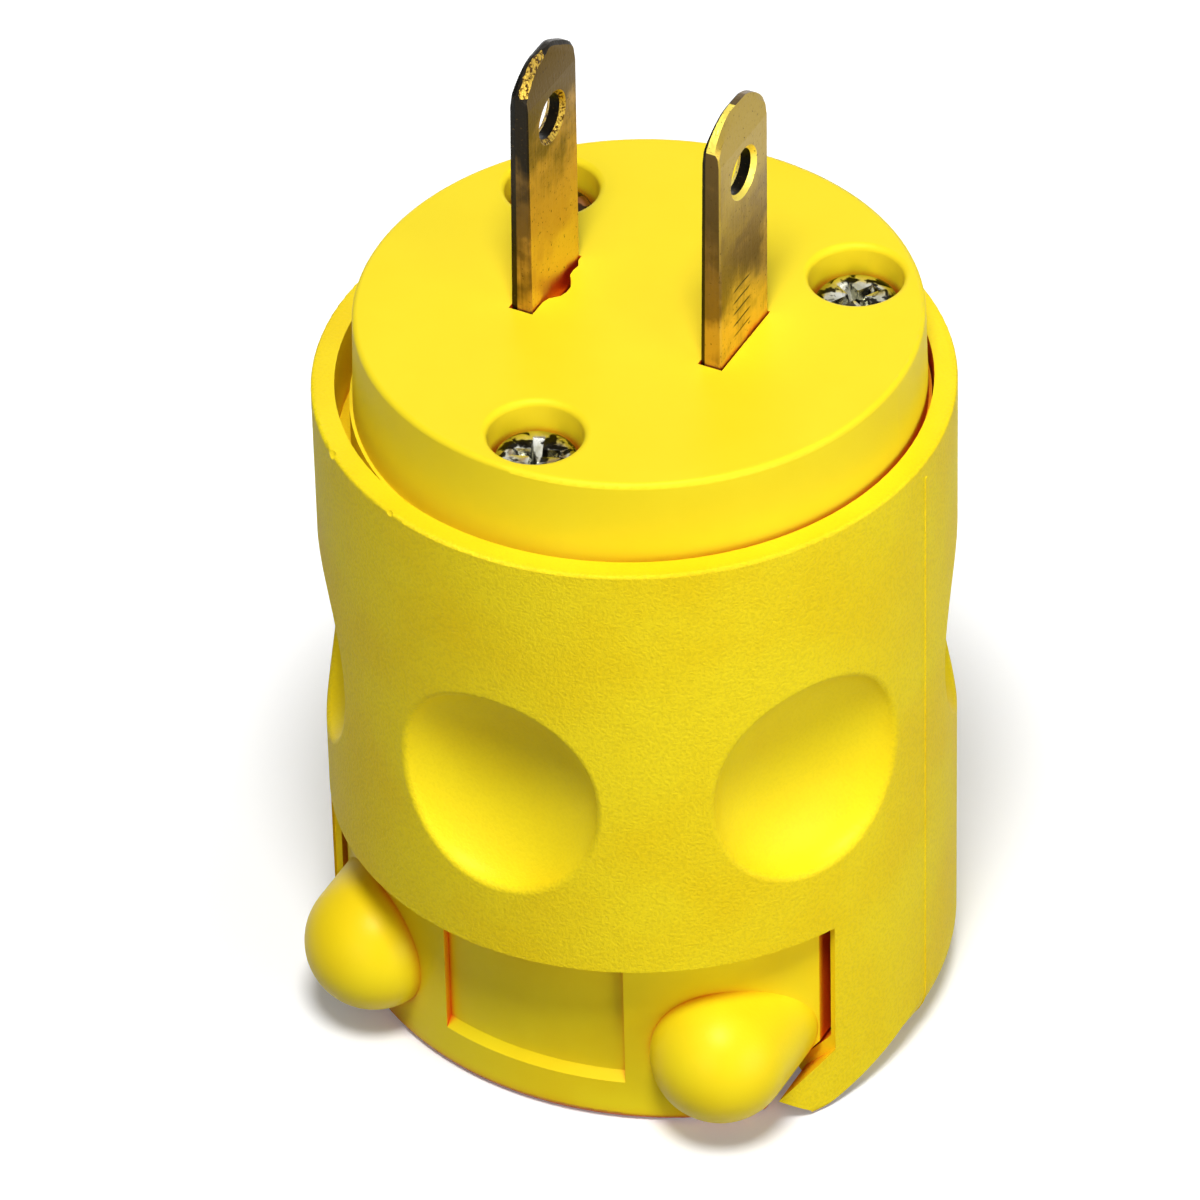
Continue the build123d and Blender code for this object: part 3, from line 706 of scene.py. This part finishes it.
@dataclass
class BladeStrip:
    """One stamped blade: the carried-over tab below the cover, and a coined strip above it."""

    name: str
    centre_x_mm: float
    centre_y_mm: float = -0.05
    face_top_mm: float = 50.3
    pivot_z_mm: float = 48.65
    lean: float = 0.00785
    half_thick: float = 0.7
    root: float = -1.75
    bevel_from: float = 14.8
    length: float = 17.45
    tip_front: float = 0.38
    tip_back: float = 0.2
    back_taper: float = 0.2
    bore: float = 1.45
    bore_break: float = 0.28
    bore_at: float = 12.5
    edge_break: float = 0.1
    ragged: float = 0.05
    coin_depth: float = 0.43
    burr: float = 0.3
    torn_corner: bool = True
    far_coin: float = 0.3
    near_lift: float = 0.15
    far_drop: float = 0.2
    shoulder_from: float = 15.2
    crown_half: float = 0.7
    step: float = 0.2
    # Half outline: distance from the middle, height above the cover, and how much of the corner is coined
    outline: tuple[tuple[float, float, float], ...] = (
        (3.125, -1.75, 0.0),
        (3.125, 14.8, 0.0),
        (3.125, 15.5, 0.0),
        (3.12, 15.72, 0.75),
        (3.05, 15.95, 1.0),
        (2.78, 16.3, 1.0),
        (2.4, 16.66, 1.0),
        (1.95, 16.98, 1.0),
        (1.5, 17.23, 1.0),
        (1.05, 17.4, 0.85),
        (0.5, 17.45, 0.6),
        (0.0, 17.45, 0.4),
    )

    def build(self, source: bpy.types.Object, skins: dict[Zone, bpy.types.Material]) -> bpy.types.Object:
        """Build the blade.

        Args:
            source: the carried-over node that gives the tab.
            skins: a finish for every zone.

        Returns:
            The blade as one plain mesh object.
        """
        strip = self._strip()
        data = bpy.data.meshes.new(self.name)
        strip.to_mesh(data)
        strip.free()
        blade = link_object(self.name, data)
        for zone in Zone:
            data.materials.append(skins[zone])
        self._punch(blade, skins[Zone.TORN])
        whole = bmesh.new()
        whole.from_mesh(blade.data)
        self._place(whole)
        tab = self._tab(source)
        whole.from_mesh(tab)
        bpy.data.meshes.remove(tab)
        whole.to_mesh(blade.data)
        whole.free()
        blade.data.shade_smooth()
        blade.data.set_sharp_from_angle(angle=math.radians(24))
        return blade

    def _whole_outline(self) -> list[tuple[float, float, float]]:
        """Outline of the whole strip, from its far root over the tip to its near root.

        Returns:
            Distance from the middle, height above the cover and share of coining, a step apart round the tip.
        """
        half: list[tuple[float, float, float]] = []
        for (u0, v0, c0), (u1, v1, c1) in zip(self.outline, self.outline[1:]):
            steps = 1 if v0 < 0 else max(1, round(math.hypot(u1 - u0, v1 - v0) / self.step))
            half += [
                (u0 + (u1 - u0) * i / steps, v0 + (v1 - v0) * i / steps, c0 + (c1 - c0) * i / steps)
                for i in range(steps)
            ]
        far = [(u, self._shifted(u, v, -self.far_drop), c * self.far_coin) for u, v, c in half]
        near = [(-u, self._shifted(u, v, self.near_lift), c) for u, v, c in reversed(half)]
        return [*far, self.outline[-1], *near]

    def _shifted(self, across: float, height: float, shift: float) -> float:
        """Height of an outline point after the worn press tool has cut that shoulder high or low.

        Args:
            across: distance from the strip's middle.
            height: of the point on an even outline.
            shift: how far the middle of the shoulder moves, up or down.

        Returns:
            The new height, never past the strip's length.
        """
        if height < self.shoulder_from:
            return height
        share = max(0.0, across - self.crown_half) / (self.outline[0][0] - self.crown_half)
        return min(self.length, height + shift * math.sin(math.pi * share))

    def _walls(self, height: float) -> tuple[float, float]:
        """Back and front faces of the strip, measured through its thickness.

        Args:
            height: above the cover, in millimetres.

        Returns:
            Where the back and the front face are at that height.
        """
        taper = self.back_taper * min(max(height, 0.0) / self.bevel_from, 1.0)
        share = max(0.0, (height - self.bevel_from) / (self.length - self.bevel_from))
        front = self.half_thick + (self.tip_front - self.half_thick) * share
        back = -self.half_thick + taper + (self.half_thick - self.back_taper - self.tip_back) * share
        return back, front

    def _strip(self) -> bmesh.types.BMesh:
        """Closed strip of four rings: front face, two lines of the cut edge, back face.

        Returns:
            The strip, x through its thickness, y across and z above the cover, in metres.
        """
        points = self._whole_outline()
        shape = bmesh.new()
        rings: list[list[bmesh.types.BMVert]] = [[], [], [], []]
        last = len(points) - 1
        for i, (u, v, coin) in enumerate(points):
            before, after = points[max(i - 1, 0)], points[min(i + 1, last)]
            along = Vector((after[0] - before[0], after[1] - before[1], 0)).normalized()
            inward = Vector((-along.y, along.x, 0))
            back, front = self._walls(v)
            ragged = self.ragged * coin * math.sin(7.3 * i + 2.1 * math.sin(3.7 * i))
            inset = self.edge_break + coin * (0.2 + 0.25 * max(0.0, v - 15.6)) + ragged
            depth = front - back
            edge = front - depth * (0.07 + self.coin_depth * coin) + ragged
            spots = (
                (front, u + inward.x * inset, v + inward.y * inset),
                (edge, u, v),
                (back + depth * self.burr, u, v),
                (back, u + inward.x * self.edge_break, v + inward.y * self.edge_break),
            )
            for ring, (w, across, up) in zip(rings, spots):
                ring.append(shape.verts.new((w * MM, across * MM, up * MM)))
        zones = list(Zone)
        for band, (low, high) in enumerate(zip(rings, rings[1:])):
            for i in range(len(points)):
                j = (i + 1) % len(points)
                wall = shape.faces.new((low[i], low[j], high[j], high[i]))
                wall.material_index = zones.index(self._zone(band, points[i], points[j]))
        foot = [i for i, (_, v, _) in enumerate(points) if v <= self.bevel_from]
        head = [i for i, (_, v, _) in enumerate(points) if v >= self.bevel_from]
        for ring in (rings[0], list(reversed(rings[3]))):
            for part in (foot, head):
                picked = part if ring is rings[0] else [len(points) - 1 - i for i in reversed(part)]
                shape.faces.new([ring[i] for i in picked]).material_index = zones.index(Zone.FACE)
        bmesh.ops.recalc_face_normals(shape, faces=shape.faces)
        return shape

    def _zone(
        self, band: int, first: tuple[float, float, float], second: tuple[float, float, float]
    ) -> Zone:
        """Finish of one stretch of the strip's rim.

        Args:
            band: 0 for the front bevel, 1 for the cut edge, 2 for the back burr.
            first: outline point where the stretch starts.
            second: outline point where it ends.

        Returns:
            The zone that the press tool left there.
        """
        corner = max(first[0], second[0]) < -0.2 and min(first[2], second[2]) > 0.45
        if band == 2:
            return Zone.TORN
        if corner and band == (0 if self.torn_corner else 1):
            return Zone.COINED
        return Zone.FACE if band == 0 and not self.torn_corner else Zone.EDGE

    def _punch(self, blade: bpy.types.Object, skin: bpy.types.Material) -> None:
        """Punch the hole with its broken rims, and mark its faces.

        Args:
            blade: the strip in its own axes.
            skin: finish of the bore, torn metal painted near black as shade.
        """
        back, front = self._walls(self.bore_at)
        r, rim, end = self.bore, self.bore_break, 1.3
        profile = [(0, -end), (r + rim + back + end, -end), (r, back + rim)]
        profile += [(r, front - rim), (r + rim + end - front, end), (0, end)]
        drill = mesh_object(self.name + "_drill", turned(profile, 48), skin)
        turn = Matrix.Rotation(math.pi / 2, 4, "Y")
        drill.data.transform(Matrix.Translation((0, 0, self.bore_at * MM)) @ turn)
        carve(blade, drill)
        zones = list(Zone)
        for face in blade.data.polygons:
            corners = [blade.data.vertices[i].co for i in face.vertices]
            reach = max(math.hypot(corner.y, corner.z - self.bore_at * MM) for corner in corners) / MM
            if reach < r + 0.01:
                face.material_index = zones.index(Zone.TORN)
            elif reach < r + rim + 0.05 and abs(face.normal.x) < 0.95:
                face.material_index = zones.index(Zone.COINED)

    def _place(self, shape: bmesh.types.BMesh) -> None:
        """Lean the strip and set it on its place on the cover.

        Args:
            shape: the strip in its own axes, moved here.
        """
        for vert in shape.verts:
            z = vert.co.z + self.face_top_mm * MM
            lean = self.lean * (z - self.pivot_z_mm * MM)
            vert.co = Vector((vert.co.x + self.centre_x_mm * MM + lean, vert.co.y + self.centre_y_mm * MM, z))

    def _tab(self, source: bpy.types.Object) -> bpy.types.Mesh:
        """The node's part below the cover's face, closed with a flat cap.

        Args:
            source: the carried-over node.

        Returns:
            A new mesh of the tab.
        """
        tab = bmesh.new()
        tab.from_mesh(source.data)
        bmesh.ops.remove_doubles(tab, verts=tab.verts, dist=0.002 * MM)
        level = Vector((0, 0, (self.face_top_mm + self.root + 0.05) * MM))
        parts = [*tab.verts, *tab.edges, *tab.faces]
        bmesh.ops.bisect_plane(tab, geom=parts, plane_co=level, plane_no=(0, 0, 1), clear_outer=True)
        bmesh.ops.holes_fill(tab, edges=[edge for edge in tab.edges if edge.is_boundary])
        data = bpy.data.meshes.new("tab")
        tab.to_mesh(data)
        tab.free()
        return data


class Repeater:
    """Geometry Nodes that set one piece at every point of a mesh, turned as the points say."""

    def __init__(self) -> None:
        """Build the tree once; every set of repeated pieces shares it."""
        tree = bpy.data.node_groups.new("pieces_at_points", "GeometryNodeTree")
        face = tree.interface
        face.new_socket("Points", in_out="INPUT", socket_type="NodeSocketGeometry")
        piece_input = face.new_socket("Piece", in_out="INPUT", socket_type="NodeSocketObject")
        finish_input = face.new_socket("Finish", in_out="INPUT", socket_type="NodeSocketMaterial")
        size_input = face.new_socket("Size", in_out="INPUT", socket_type="NodeSocketFloat")
        self.piece_key = piece_input.identifier
        self.finish_key = finish_input.identifier
        self.size_key = size_input.identifier
        face.new_socket("Geometry", in_out="OUTPUT", socket_type="NodeSocketGeometry")
        given = add_node(tree, "NodeGroupInput").outputs
        named = add_node(tree, "GeometryNodeInputNamedAttribute", {"Name": "turn"}, data_type="FLOAT_VECTOR")
        piece = add_node(tree, "GeometryNodeObjectInfo", {"Object": given["Piece"]}).outputs["Geometry"]
        copies = {"Points": given["Points"], "Instance": piece, "Scale": given["Size"]}
        copies["Rotation"] = named.outputs[0]
        placed = add_node(tree, "GeometryNodeInstanceOnPoints", copies).outputs[0]
        real = add_node(tree, "GeometryNodeRealizeInstances", {"Geometry": placed}).outputs[0]
        dressed = add_node(tree, "GeometryNodeSetMaterial", {"Geometry": real, "Material": given["Finish"]})
        add_node(tree, "NodeGroupOutput", {"Geometry": dressed.outputs[0]})
        self.tree = tree

    def repeat(
        self,
        name: str,
        piece: bpy.types.Object,
        places: list[tuple[Vector, Vector]],
        material: bpy.types.Material,
    ) -> bpy.types.Object:
        """Set the piece at every place and bake the result to one mesh.

        Args:
            name: of the finished object.
            piece: the pattern piece, removed afterwards.
            places: position in metres and Euler turn of each copy.
            material: finish of all copies.

        Returns:
            One plain mesh object of all the copies.
        """
        points = bpy.data.meshes.new(name + "_points")
        points.from_pydata([tuple(place) for place, _ in places], [], [])
        turns = points.attributes.new("turn", "FLOAT_VECTOR", "POINT")
        for i, (_, turn) in enumerate(places):
            turns.data[i].vector = turn
        made = link_object(name, points)
        nodes = made.modifiers.new("copies", "NODES")
        nodes.node_group = self.tree
        nodes[self.piece_key] = piece
        nodes[self.finish_key] = material
        nodes[self.size_key] = 1.0
        settle(made)
        bpy.data.objects.remove(piece)
        turns = made.data.attributes.get("turn")
        if turns:
            made.data.attributes.remove(turns)
        return made


# Sub-assemblies


@dataclass
class SubAssembly:
    """A group of pieces that share the loaded nodes and the repeater."""

    nodes: dict[str, bpy.types.Object]
    repeater: Repeater

    def dress(self, node: str, material: bpy.types.Material) -> None:
        """Give a carried-over node its finish.

        Args:
            node: the node's name.
            material: its finish.
        """
        for slot in self.nodes[node].material_slots:
            slot.material = material
        log.info("%s: %s", node, material.name)

    def stand_in(self, piece: bpy.types.Object, slot: str, *replaced: str) -> None:
        """Ride a new piece on the body, log its slot's name, and hide the nodes it stands for.

        Args:
            piece: the new piece.
            slot: the name of its material slot, written to the log.
            replaced: the nodes that it stands for.
        """
        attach(piece, "root")
        if replaced:
            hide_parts(*replaced)
        log.info("%s: %d faces, slot %s", piece.name, len(piece.data.polygons), slot)


@dataclass
class Housing(SubAssembly):
    """The moulded body and its loose cord clamp, with the hardware that holds them."""

    clamp_screw_length: float = 24.6
    clamp_head_height: float = 2.3
    dimple_step_degrees: float = 60.0
    dimple_reach_mm: float = 10.0
    skin_radius_mm: float = 14.0
    mark_mm: tuple[float, float, float] = (-0.44, -16.89, 30.37)
    mark_reach_mm: float = 4.0
    mark_rise_mm: float = 0.012
    skin_play_mm: float = 0.05

    def build(self) -> None:
        """Dress the mouldings, mend the body, build the clamp's screws and dress its nuts."""
        self.dress("body_shell", MouldedVinyl("moulded_pvc_grained", Skin.GRAINED_WALL).material())
        self.stand_in(self._mended_body(), "body", "body_shell")
        # Painted shade: on the clamp the orange crevice shade reaches further, into the creases round the
        # domes
        clamp = MouldedVinyl(
            "moulded_pvc_satin_clamp", Skin.SATIN, crevice_mm=2.6, crevice_open=0.72, crevice_shut=0.3
        )
        self.dress("cord_clamp", clamp.material())
        zinc = PlainMetal("zinc_plated_steel", "#b9bcbd", "#a7a89f", 0.34).material()
        self._clamp_screws(zinc)
        self._clamp_nuts(zinc)

    def _mended_body(self) -> bpy.types.Object:
        """Copy of the body whose front dimple is as smooth as the next one round.

        Returns:
            The copy, without the low end of the screw boss that breaks through the dimple's skin.
        """
        data = self.nodes["body_shell"].data.copy()
        normals = [corner.vector.copy() for corner in data.corner_normals]
        rises, fitted = self._above_dimple(data, normals)
        limit = self.mark_rise_mm * MM
        count = 0
        for face in data.polygons:
            corners = list(face.vertices)
            if all(i in rises for i in corners) and max(rises[i] for i in corners) > limit:
                count += 1
                for corner, i in zip(face.loop_indices, corners):
                    normals[corner] = fitted[i][1]
        for i, rise in rises.items():
            if rise > limit:
                data.vertices[i].co = fitted[i][0]
        log.info("dimple: %d faces mended, highest %.3f mm", count, max(rises.values(), default=0.0) / MM)
        self._merge(data, normals)
        return link_object("body_mended", data)

    def _above_dimple(
        self, data: bpy.types.Mesh, normals: list[Vector]
    ) -> tuple[dict[int, float], dict[int, tuple[Vector, Vector]]]:
        """Compare the skin near the boss's mark with the next dimple, which has no boss.

        Args:
            data: the body's mesh.
            normals: its corner normals.

        Returns:
            Each near vertex's rise above the next dimple's skin, and its place and normal on that skin.
        """
        turn = Matrix.Rotation(math.radians(self.dimple_step_degrees), 3, "Z")
        back = turn.transposed()
        middle = Vector(self.mark_mm) * MM
        skins = []
        for face in data.polygons:
            spot = back @ face.center
            outward = face.normal.dot(Vector((face.center.x, face.center.y, 0)).normalized())
            near = (spot - middle).length < self.dimple_reach_mm * MM
            if near and outward > 0.3 and math.hypot(spot.x, spot.y) > self.skin_radius_mm * MM:
                skins.append(face)
        skin = BVHTree.FromPolygons([v.co for v in data.vertices], [tuple(face.vertices) for face in skins])
        rises: dict[int, float] = {}
        fitted: dict[int, tuple[Vector, Vector]] = {}
        for vert in data.vertices:
            if (vert.co - middle).length > self.mark_reach_mm * MM:
                continue
            turned_spot = turn @ vert.co
            spot, way, index, _ = skin.find_nearest(turned_spot)
            rise = (turned_spot - spot).dot(way)
            if rise > -self.skin_play_mm * MM:
                face = skins[index]
                shares = poly_3d_calc([data.vertices[i].co for i in face.vertices], spot)
                normal = sum((normals[c] * w for c, w in zip(face.loop_indices, shares)), Vector())
                rises[vert.index] = rise
                fitted[vert.index] = (back @ spot, (back @ normal).normalized())
        return rises, fitted

    def _merge(self, data: bpy.types.Mesh, normals: list[Vector]) -> None:
        """Join the mesh's loose triangles and keep the normals of their corners.

        Args:
            data: the mesh, changed here.
            normals: one for each corner.
        """
        kept = data.attributes.new("kept_normal", "FLOAT_VECTOR", "CORNER")
        kept.data.foreach_set("vector", [value for normal in normals for value in normal])
        joint = bmesh.new()
        joint.from_mesh(data)
        bmesh.ops.remove_doubles(joint, verts=joint.verts, dist=0.0005 * MM)
        joint.to_mesh(data)
        joint.free()
        kept = data.attributes["kept_normal"]
        data.normals_split_custom_set([item.vector.copy() for item in kept.data])
        data.attributes.remove(data.attributes["kept_normal"])

    def _clamp_screws(self, zinc: bpy.types.Material) -> None:
        """Two cross-head screws that run forward from the back of the body."""
        screw = CrossHeadScrew(
            "clamp_screw",
            head=6.2,
            head_height=self.clamp_head_height,
            dome=0.8,
            shank=3.6,
            length=self.clamp_screw_length,
            pitch=0.8,
            cross=2.9,
            cross_width=0.7,
            cross_depth=1.45,
            plain=8.0,
        ).build(zinc)
        places = []
        for side in ("left", "right"):
            low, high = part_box("clamp_screw_" + side)
            seat = high[1] - self.clamp_head_height * MM
            x, z = (low[0] + high[0]) / 2, (low[2] + high[2]) / 2
            places.append((Vector((x, seat, z)), Vector((-math.pi / 2, 0, 0))))
        piece = self.repeater.repeat("clamp_screws", screw, places, zinc)
        self.stand_in(piece, "clamp_screw", "clamp_screw_left", "clamp_screw_right")

    def _clamp_nuts(self, zinc: bpy.types.Material) -> None:
        """Two hexagon nuts buried in the domed bosses."""
        for side in ("left", "right"):
            self.dress("clamp_nut_" + side, zinc)


@dataclass
class FaceCover(SubAssembly):
    """The raised cover, its three screws and the inserts that they turn into."""

    head_height: float = 1.7
    turns: tuple[float, float, float] = (0.35, 1.05, 0.7)

    def build(self) -> None:
        """Dress the cover and its inserts, and build its screws."""
        # Painted shade: on the cover the orange crevice shade is kept to the tighter gaps
        cover = MouldedVinyl(
            "moulded_pvc_satin_cover",
            Skin.SATIN,
            colour="#fee527",
            shade="#fce122",
            crevice_open=0.42,
            satin_roughness=0.5,
        )
        self.dress("face_cover", cover.material())
        nickel = PlainMetal("nickel_plated_steel", "#dcdcd2", "#b4b29c", 0.22, stain="#24221a").material()
        # Painted reflection: the rear screw is painted copper brown for the yellow plastic and shade that it
        # reflects in its recess; its dark patches are stains
        painted_reflection_steel = PlainMetal("browned_plated_steel", "#a4704a", "#7d5436", 0.36, stain="#3a2718").material()
        brass = PlainMetal("turned_brass", "#cda858", "#b8924a", 0.32).material()
        places = []
        for name, turn in zip(("front", "right", "left"), self.turns):
            low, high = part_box("face_screw_" + name)
            seat = high[2] - self.head_height * MM
            middle = Vector(((low[0] + high[0]) / 2, (low[1] + high[1]) / 2, seat))
            places.append((middle, Vector((0, 0, turn))))
        pattern = CrossHeadScrew(
            "face_screw",
            head=5.2,
            head_height=self.head_height,
            dome=0.75,
            shank=3.2,
            length=12.4,
            pitch=0.7,
            cross=2.9,
            cross_width=0.68,
            cross_depth=1.3,
        )
        front = self.repeater.repeat("front_face_screws", pattern.build(nickel), places[:2], nickel)
        self.stand_in(front, "face_screw", "face_screw_front", "face_screw_right")
        rear = self.repeater.repeat("rear_face_screw", pattern.build(painted_reflection_steel), places[2:], painted_reflection_steel)
        self.stand_in(rear, "face_screw", "face_screw_left")
        for name in ("front", "right", "left"):
            self.dress("insert_" + name, brass)


@dataclass
class Contacts(SubAssembly):
    """The two blades, their terminals and the insulator that carries them."""

    middle_x_mm: float = 0.48
    spacing_mm: float = 12.7

    def build(self) -> None:
        """Build the blades and dress the terminals and carrier."""
        for node, strip, skins in (
            ("blade_left", self._left_strip(), self._left_skins()),
            ("blade_right", self._right_strip(), self._right_skins()),
        ):
            made = {skin.zone: skin.material() for skin in skins}
            self.stand_in(strip.build(self.nodes[node], made), "blade", node)
        brass = PlainMetal("stamped_brass", "#c79e4e", "#ab843b", 0.36).material()
        nickel = PlainMetal("plated_terminal_steel", "#bcb9b0", "#a19d92", 0.3).material()
        for side in ("left", "right"):
            self.dress("pressure_plate_" + side, brass)
        self.dress("terminal_screw_left", nickel)
        self.dress("terminal_screw_right", brass)
        self.dress("terminal_carrier", MouldedPhenolic().material())

    def _left_strip(self) -> BladeStrip:
        """The left-hand blade, torn in coining and with uneven shoulders."""
        return BladeStrip("strip_left", self.middle_x_mm - self.spacing_mm / 2)

    def _right_strip(self) -> BladeStrip:
        """The right-hand blade, cleanly cut.

        Returns:
            A strip with even shoulders, whose cut corner is bright over its whole thickness.
        """
        return BladeStrip(
            "strip_right",
            self.middle_x_mm + self.spacing_mm / 2,
            ragged=0.0,
            coin_depth=0.16,
            burr=0.2,
            torn_corner=False,
            far_coin=0.6,
            near_lift=0.0,
            far_drop=0.0,
        )

    def _left_skins(self) -> list[StampedBrass]:
        """Finishes of the left-hand blade.

        Returns:
            One finish for every zone, with a rough corner and a dark upper edge.
        """
        return [
            StampedBrass(
                "brass_face_left",
                Zone.FACE,
                "#dfbf5e",
                "#c8a056",
                "#5f4a18",
                turn_mm=(6.5, 14.0),
                painted_foot_reflection="#cf6a2c",
            ),
            StampedBrass("brass_edge_left", Zone.EDGE, "#c09650", "#6f5630", "#26221c", turn_mm=(5.0, 11.0)),
            StampedBrass(
                "brass_corner_left",
                Zone.COINED,
                "#d8b84e",
                "#cfae48",
                "#c8a644",
                fleck="#4e3416",
                flecked=0.46,
                coarse_mm=0.2,
            ),
            # Painted shade: the torn bore and burr are painted near black
            StampedBrass("brass_torn_left", Zone.TORN, "#3a2c18", "#221c12", "#14130f"),
        ]

    def _right_skins(self) -> list[StampedBrass]:
        """Finishes of the right-hand blade.

        Returns:
            One finish for every zone, more olive than the left-hand blade's and scuffed at the foot.
        """
        return [
            StampedBrass(
                "brass_face_right", Zone.FACE, "#dbb85c", "#7a6234", "#a58c3a", painted_foot_reflection="#c8702c", scuffed=True
            ),
            StampedBrass("brass_edge_right", Zone.EDGE, "#c89f50", "#8a6c3a", "#5a4828", turn_mm=(5.0, 12.0)),
            StampedBrass("brass_corner_right", Zone.COINED, "#f0dc60", "#f0dc60", "#ecd65c", coarse_mm=0.06),
            # Painted shade: the torn bore and burr are painted near black
            StampedBrass("brass_torn_right", Zone.TORN, "#3c2e1a", "#2a2116", "#14130f"),
        ]


# Studio


@dataclass(frozen=True)
class Lamp:
    """A soft rectangular lamp aimed at the plug's middle."""

    name: str
    azimuth: float
    elevation: float
    distance: float
    size: float
    level: float

    def build(self) -> None:
        """Place the lamp; its level is the brightness of a white card held square to it."""
        light = bpy.data.lights.new(self.name, "AREA")
        light.shape = "DISK"
        light.size = self.size
        light.energy = self.level * math.pi**2 * (self.distance**2 + self.size**2 / 4)
        made = link_object(self.name, light)
        a, e = math.radians(self.azimuth), math.radians(self.elevation)
        way = Vector((math.sin(a) * math.cos(e), -math.cos(a) * math.cos(e), math.sin(e)))
        made.location = Vector((0, 0, 0.03)) + way * self.distance
        made.rotation_euler = way.to_track_quat("Z", "Y").to_euler()


@dataclass
class Studio:
    """Pale floor, soft lamps and the camera of the picture."""

    azimuth: float = 28.163
    elevation: float = 38.996
    roll: float = -1.489
    distance: float = 0.600
    aim_height: float = 0.0503
    offset_x: float = 0.001951
    offset_y: float = 0.017554
    focal_pixels: float = 10015.8
    image_pixels: float = 1200.0
    glow_near: float = 0.11
    glow_far: float = 0.35
    glow_from: float = 0.022
    glow_to: float = 0.05
    lamps: tuple[Lamp, ...] = (
        Lamp("key", azimuth=26, elevation=66, distance=0.7, size=0.2, level=0.88),
        Lamp("side", azimuth=80, elevation=10, distance=0.7, size=0.5, level=0.47),
        Lamp("front", azimuth=5, elevation=20, distance=0.8, size=0.4, level=0.13),
        Lamp("back", azimuth=208, elevation=8, distance=0.8, size=0.5, level=0.2),
    )

    def build(self) -> None:
        """Build the floor, the lights, the world and the camera."""
        self._floor()
        self._world()
        for lamp in self.lamps:
            lamp.build()
        self._camera()

    def _seen_share(self, tree: bpy.types.NodeTree) -> bpy.types.NodeSocket:
        """1 for camera, glossy and transmission rays, 0 for the light that the surroundings give."""
        path = add_node(tree, "ShaderNodeLightPath").outputs
        glossy = maths(tree, "MAXIMUM", path["Is Glossy Ray"], path["Is Transmission Ray"])
        return maths(tree, "MAXIMUM", path["Is Camera Ray"], glossy)

    def _floor(self) -> None:
        """White floor whose bounce on the plug is that of a grey one, with a glow for the eye alone."""
        material = blank_material("studio_paper")
        tree = material.node_tree
        seen = self._seen_share(tree)
        place = add_node(tree, "ShaderNodeTexCoord").outputs["Object"]
        away = add_node(tree, "ShaderNodeVectorMath", {0: place}, operation="LENGTH").outputs["Value"]
        share = ramp(tree, away, self.glow_from, self.glow_to)
        far = maths(tree, "MULTIPLY_ADD", share, self.glow_far - self.glow_near, self.glow_near)
        colour = blend_colour(tree, seen, linear("#7c7c78"), linear("#fdfdfd"))
        paper = add_node(tree, "ShaderNodeBsdfDiffuse", {"Color": colour})
        glow = add_node(tree, "ShaderNodeEmission", {"Strength": maths(tree, "MULTIPLY", seen, far)})
        surface(tree, add_node(tree, "ShaderNodeAddShader", {0: paper.outputs[0], 1: glow.outputs[0]}))
        sheet = bmesh.new()
        bmesh.ops.create_grid(sheet, x_segments=8, y_segments=8, size=1.5)
        floor = mesh_object("floor", sheet, material)

    def _world(self) -> None:
        """White surroundings to the eye and in reflections, a weak even fill otherwise."""
        world = bpy.data.worlds.new("studio")
        world.use_nodes = True
        tree = world.node_tree
        tree.nodes.clear()
        level = maths(tree, "MULTIPLY_ADD", self._seen_share(tree), 0.95, 0.05)
        sky = add_node(tree, "ShaderNodeBackground", {"Color": (1, 1, 1, 1), "Strength": level})
        add_node(tree, "ShaderNodeOutputWorld", {"Surface": sky.outputs[0]})
        bpy.context.scene.world = world
        bpy.context.scene.view_settings.view_transform = "Standard"

    def _camera(self) -> None:
        """Long lens that looks down on the plug from the front right."""
        az, el, roll = (math.radians(v) for v in (self.azimuth, self.elevation, self.roll))
        back = Vector((math.sin(az) * math.cos(el), -math.cos(az) * math.cos(el), math.sin(el)))
        level = Vector((math.cos(az), math.sin(az), 0))
        upright = back.cross(level)
        right = math.cos(roll) * level + math.sin(roll) * upright
        up = -math.sin(roll) * level + math.cos(roll) * upright
        data = bpy.data.cameras.new("camera")
        data.sensor_width = 36
        data.lens = self.focal_pixels * data.sensor_width / self.image_pixels
        data.clip_start = 0.01
        camera = link_object("camera", data)
        turn = Matrix((right, up, back)).transposed().to_4x4()
        aim = Vector((0, 0, self.aim_height)) - self.offset_x * right - self.offset_y * up
        turn.translation = aim + self.distance * back
        camera.matrix_world = turn
        bpy.context.scene.camera = camera


def main() -> None:
    """Load the frame and build every sub-assembly in order."""
    logging.basicConfig(level=logging.INFO, format="%(name)s: %(message)s")
    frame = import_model()
    repeater = Repeater()
    makers: list[Callable[[], None]] = [
        Housing(frame["nodes"], repeater).build,
        FaceCover(frame["nodes"], repeater).build,
        Contacts(frame["nodes"], repeater).build,
        Studio().build,
    ]
    for make in makers:
        make()


if __name__ == "__main__":
    main()
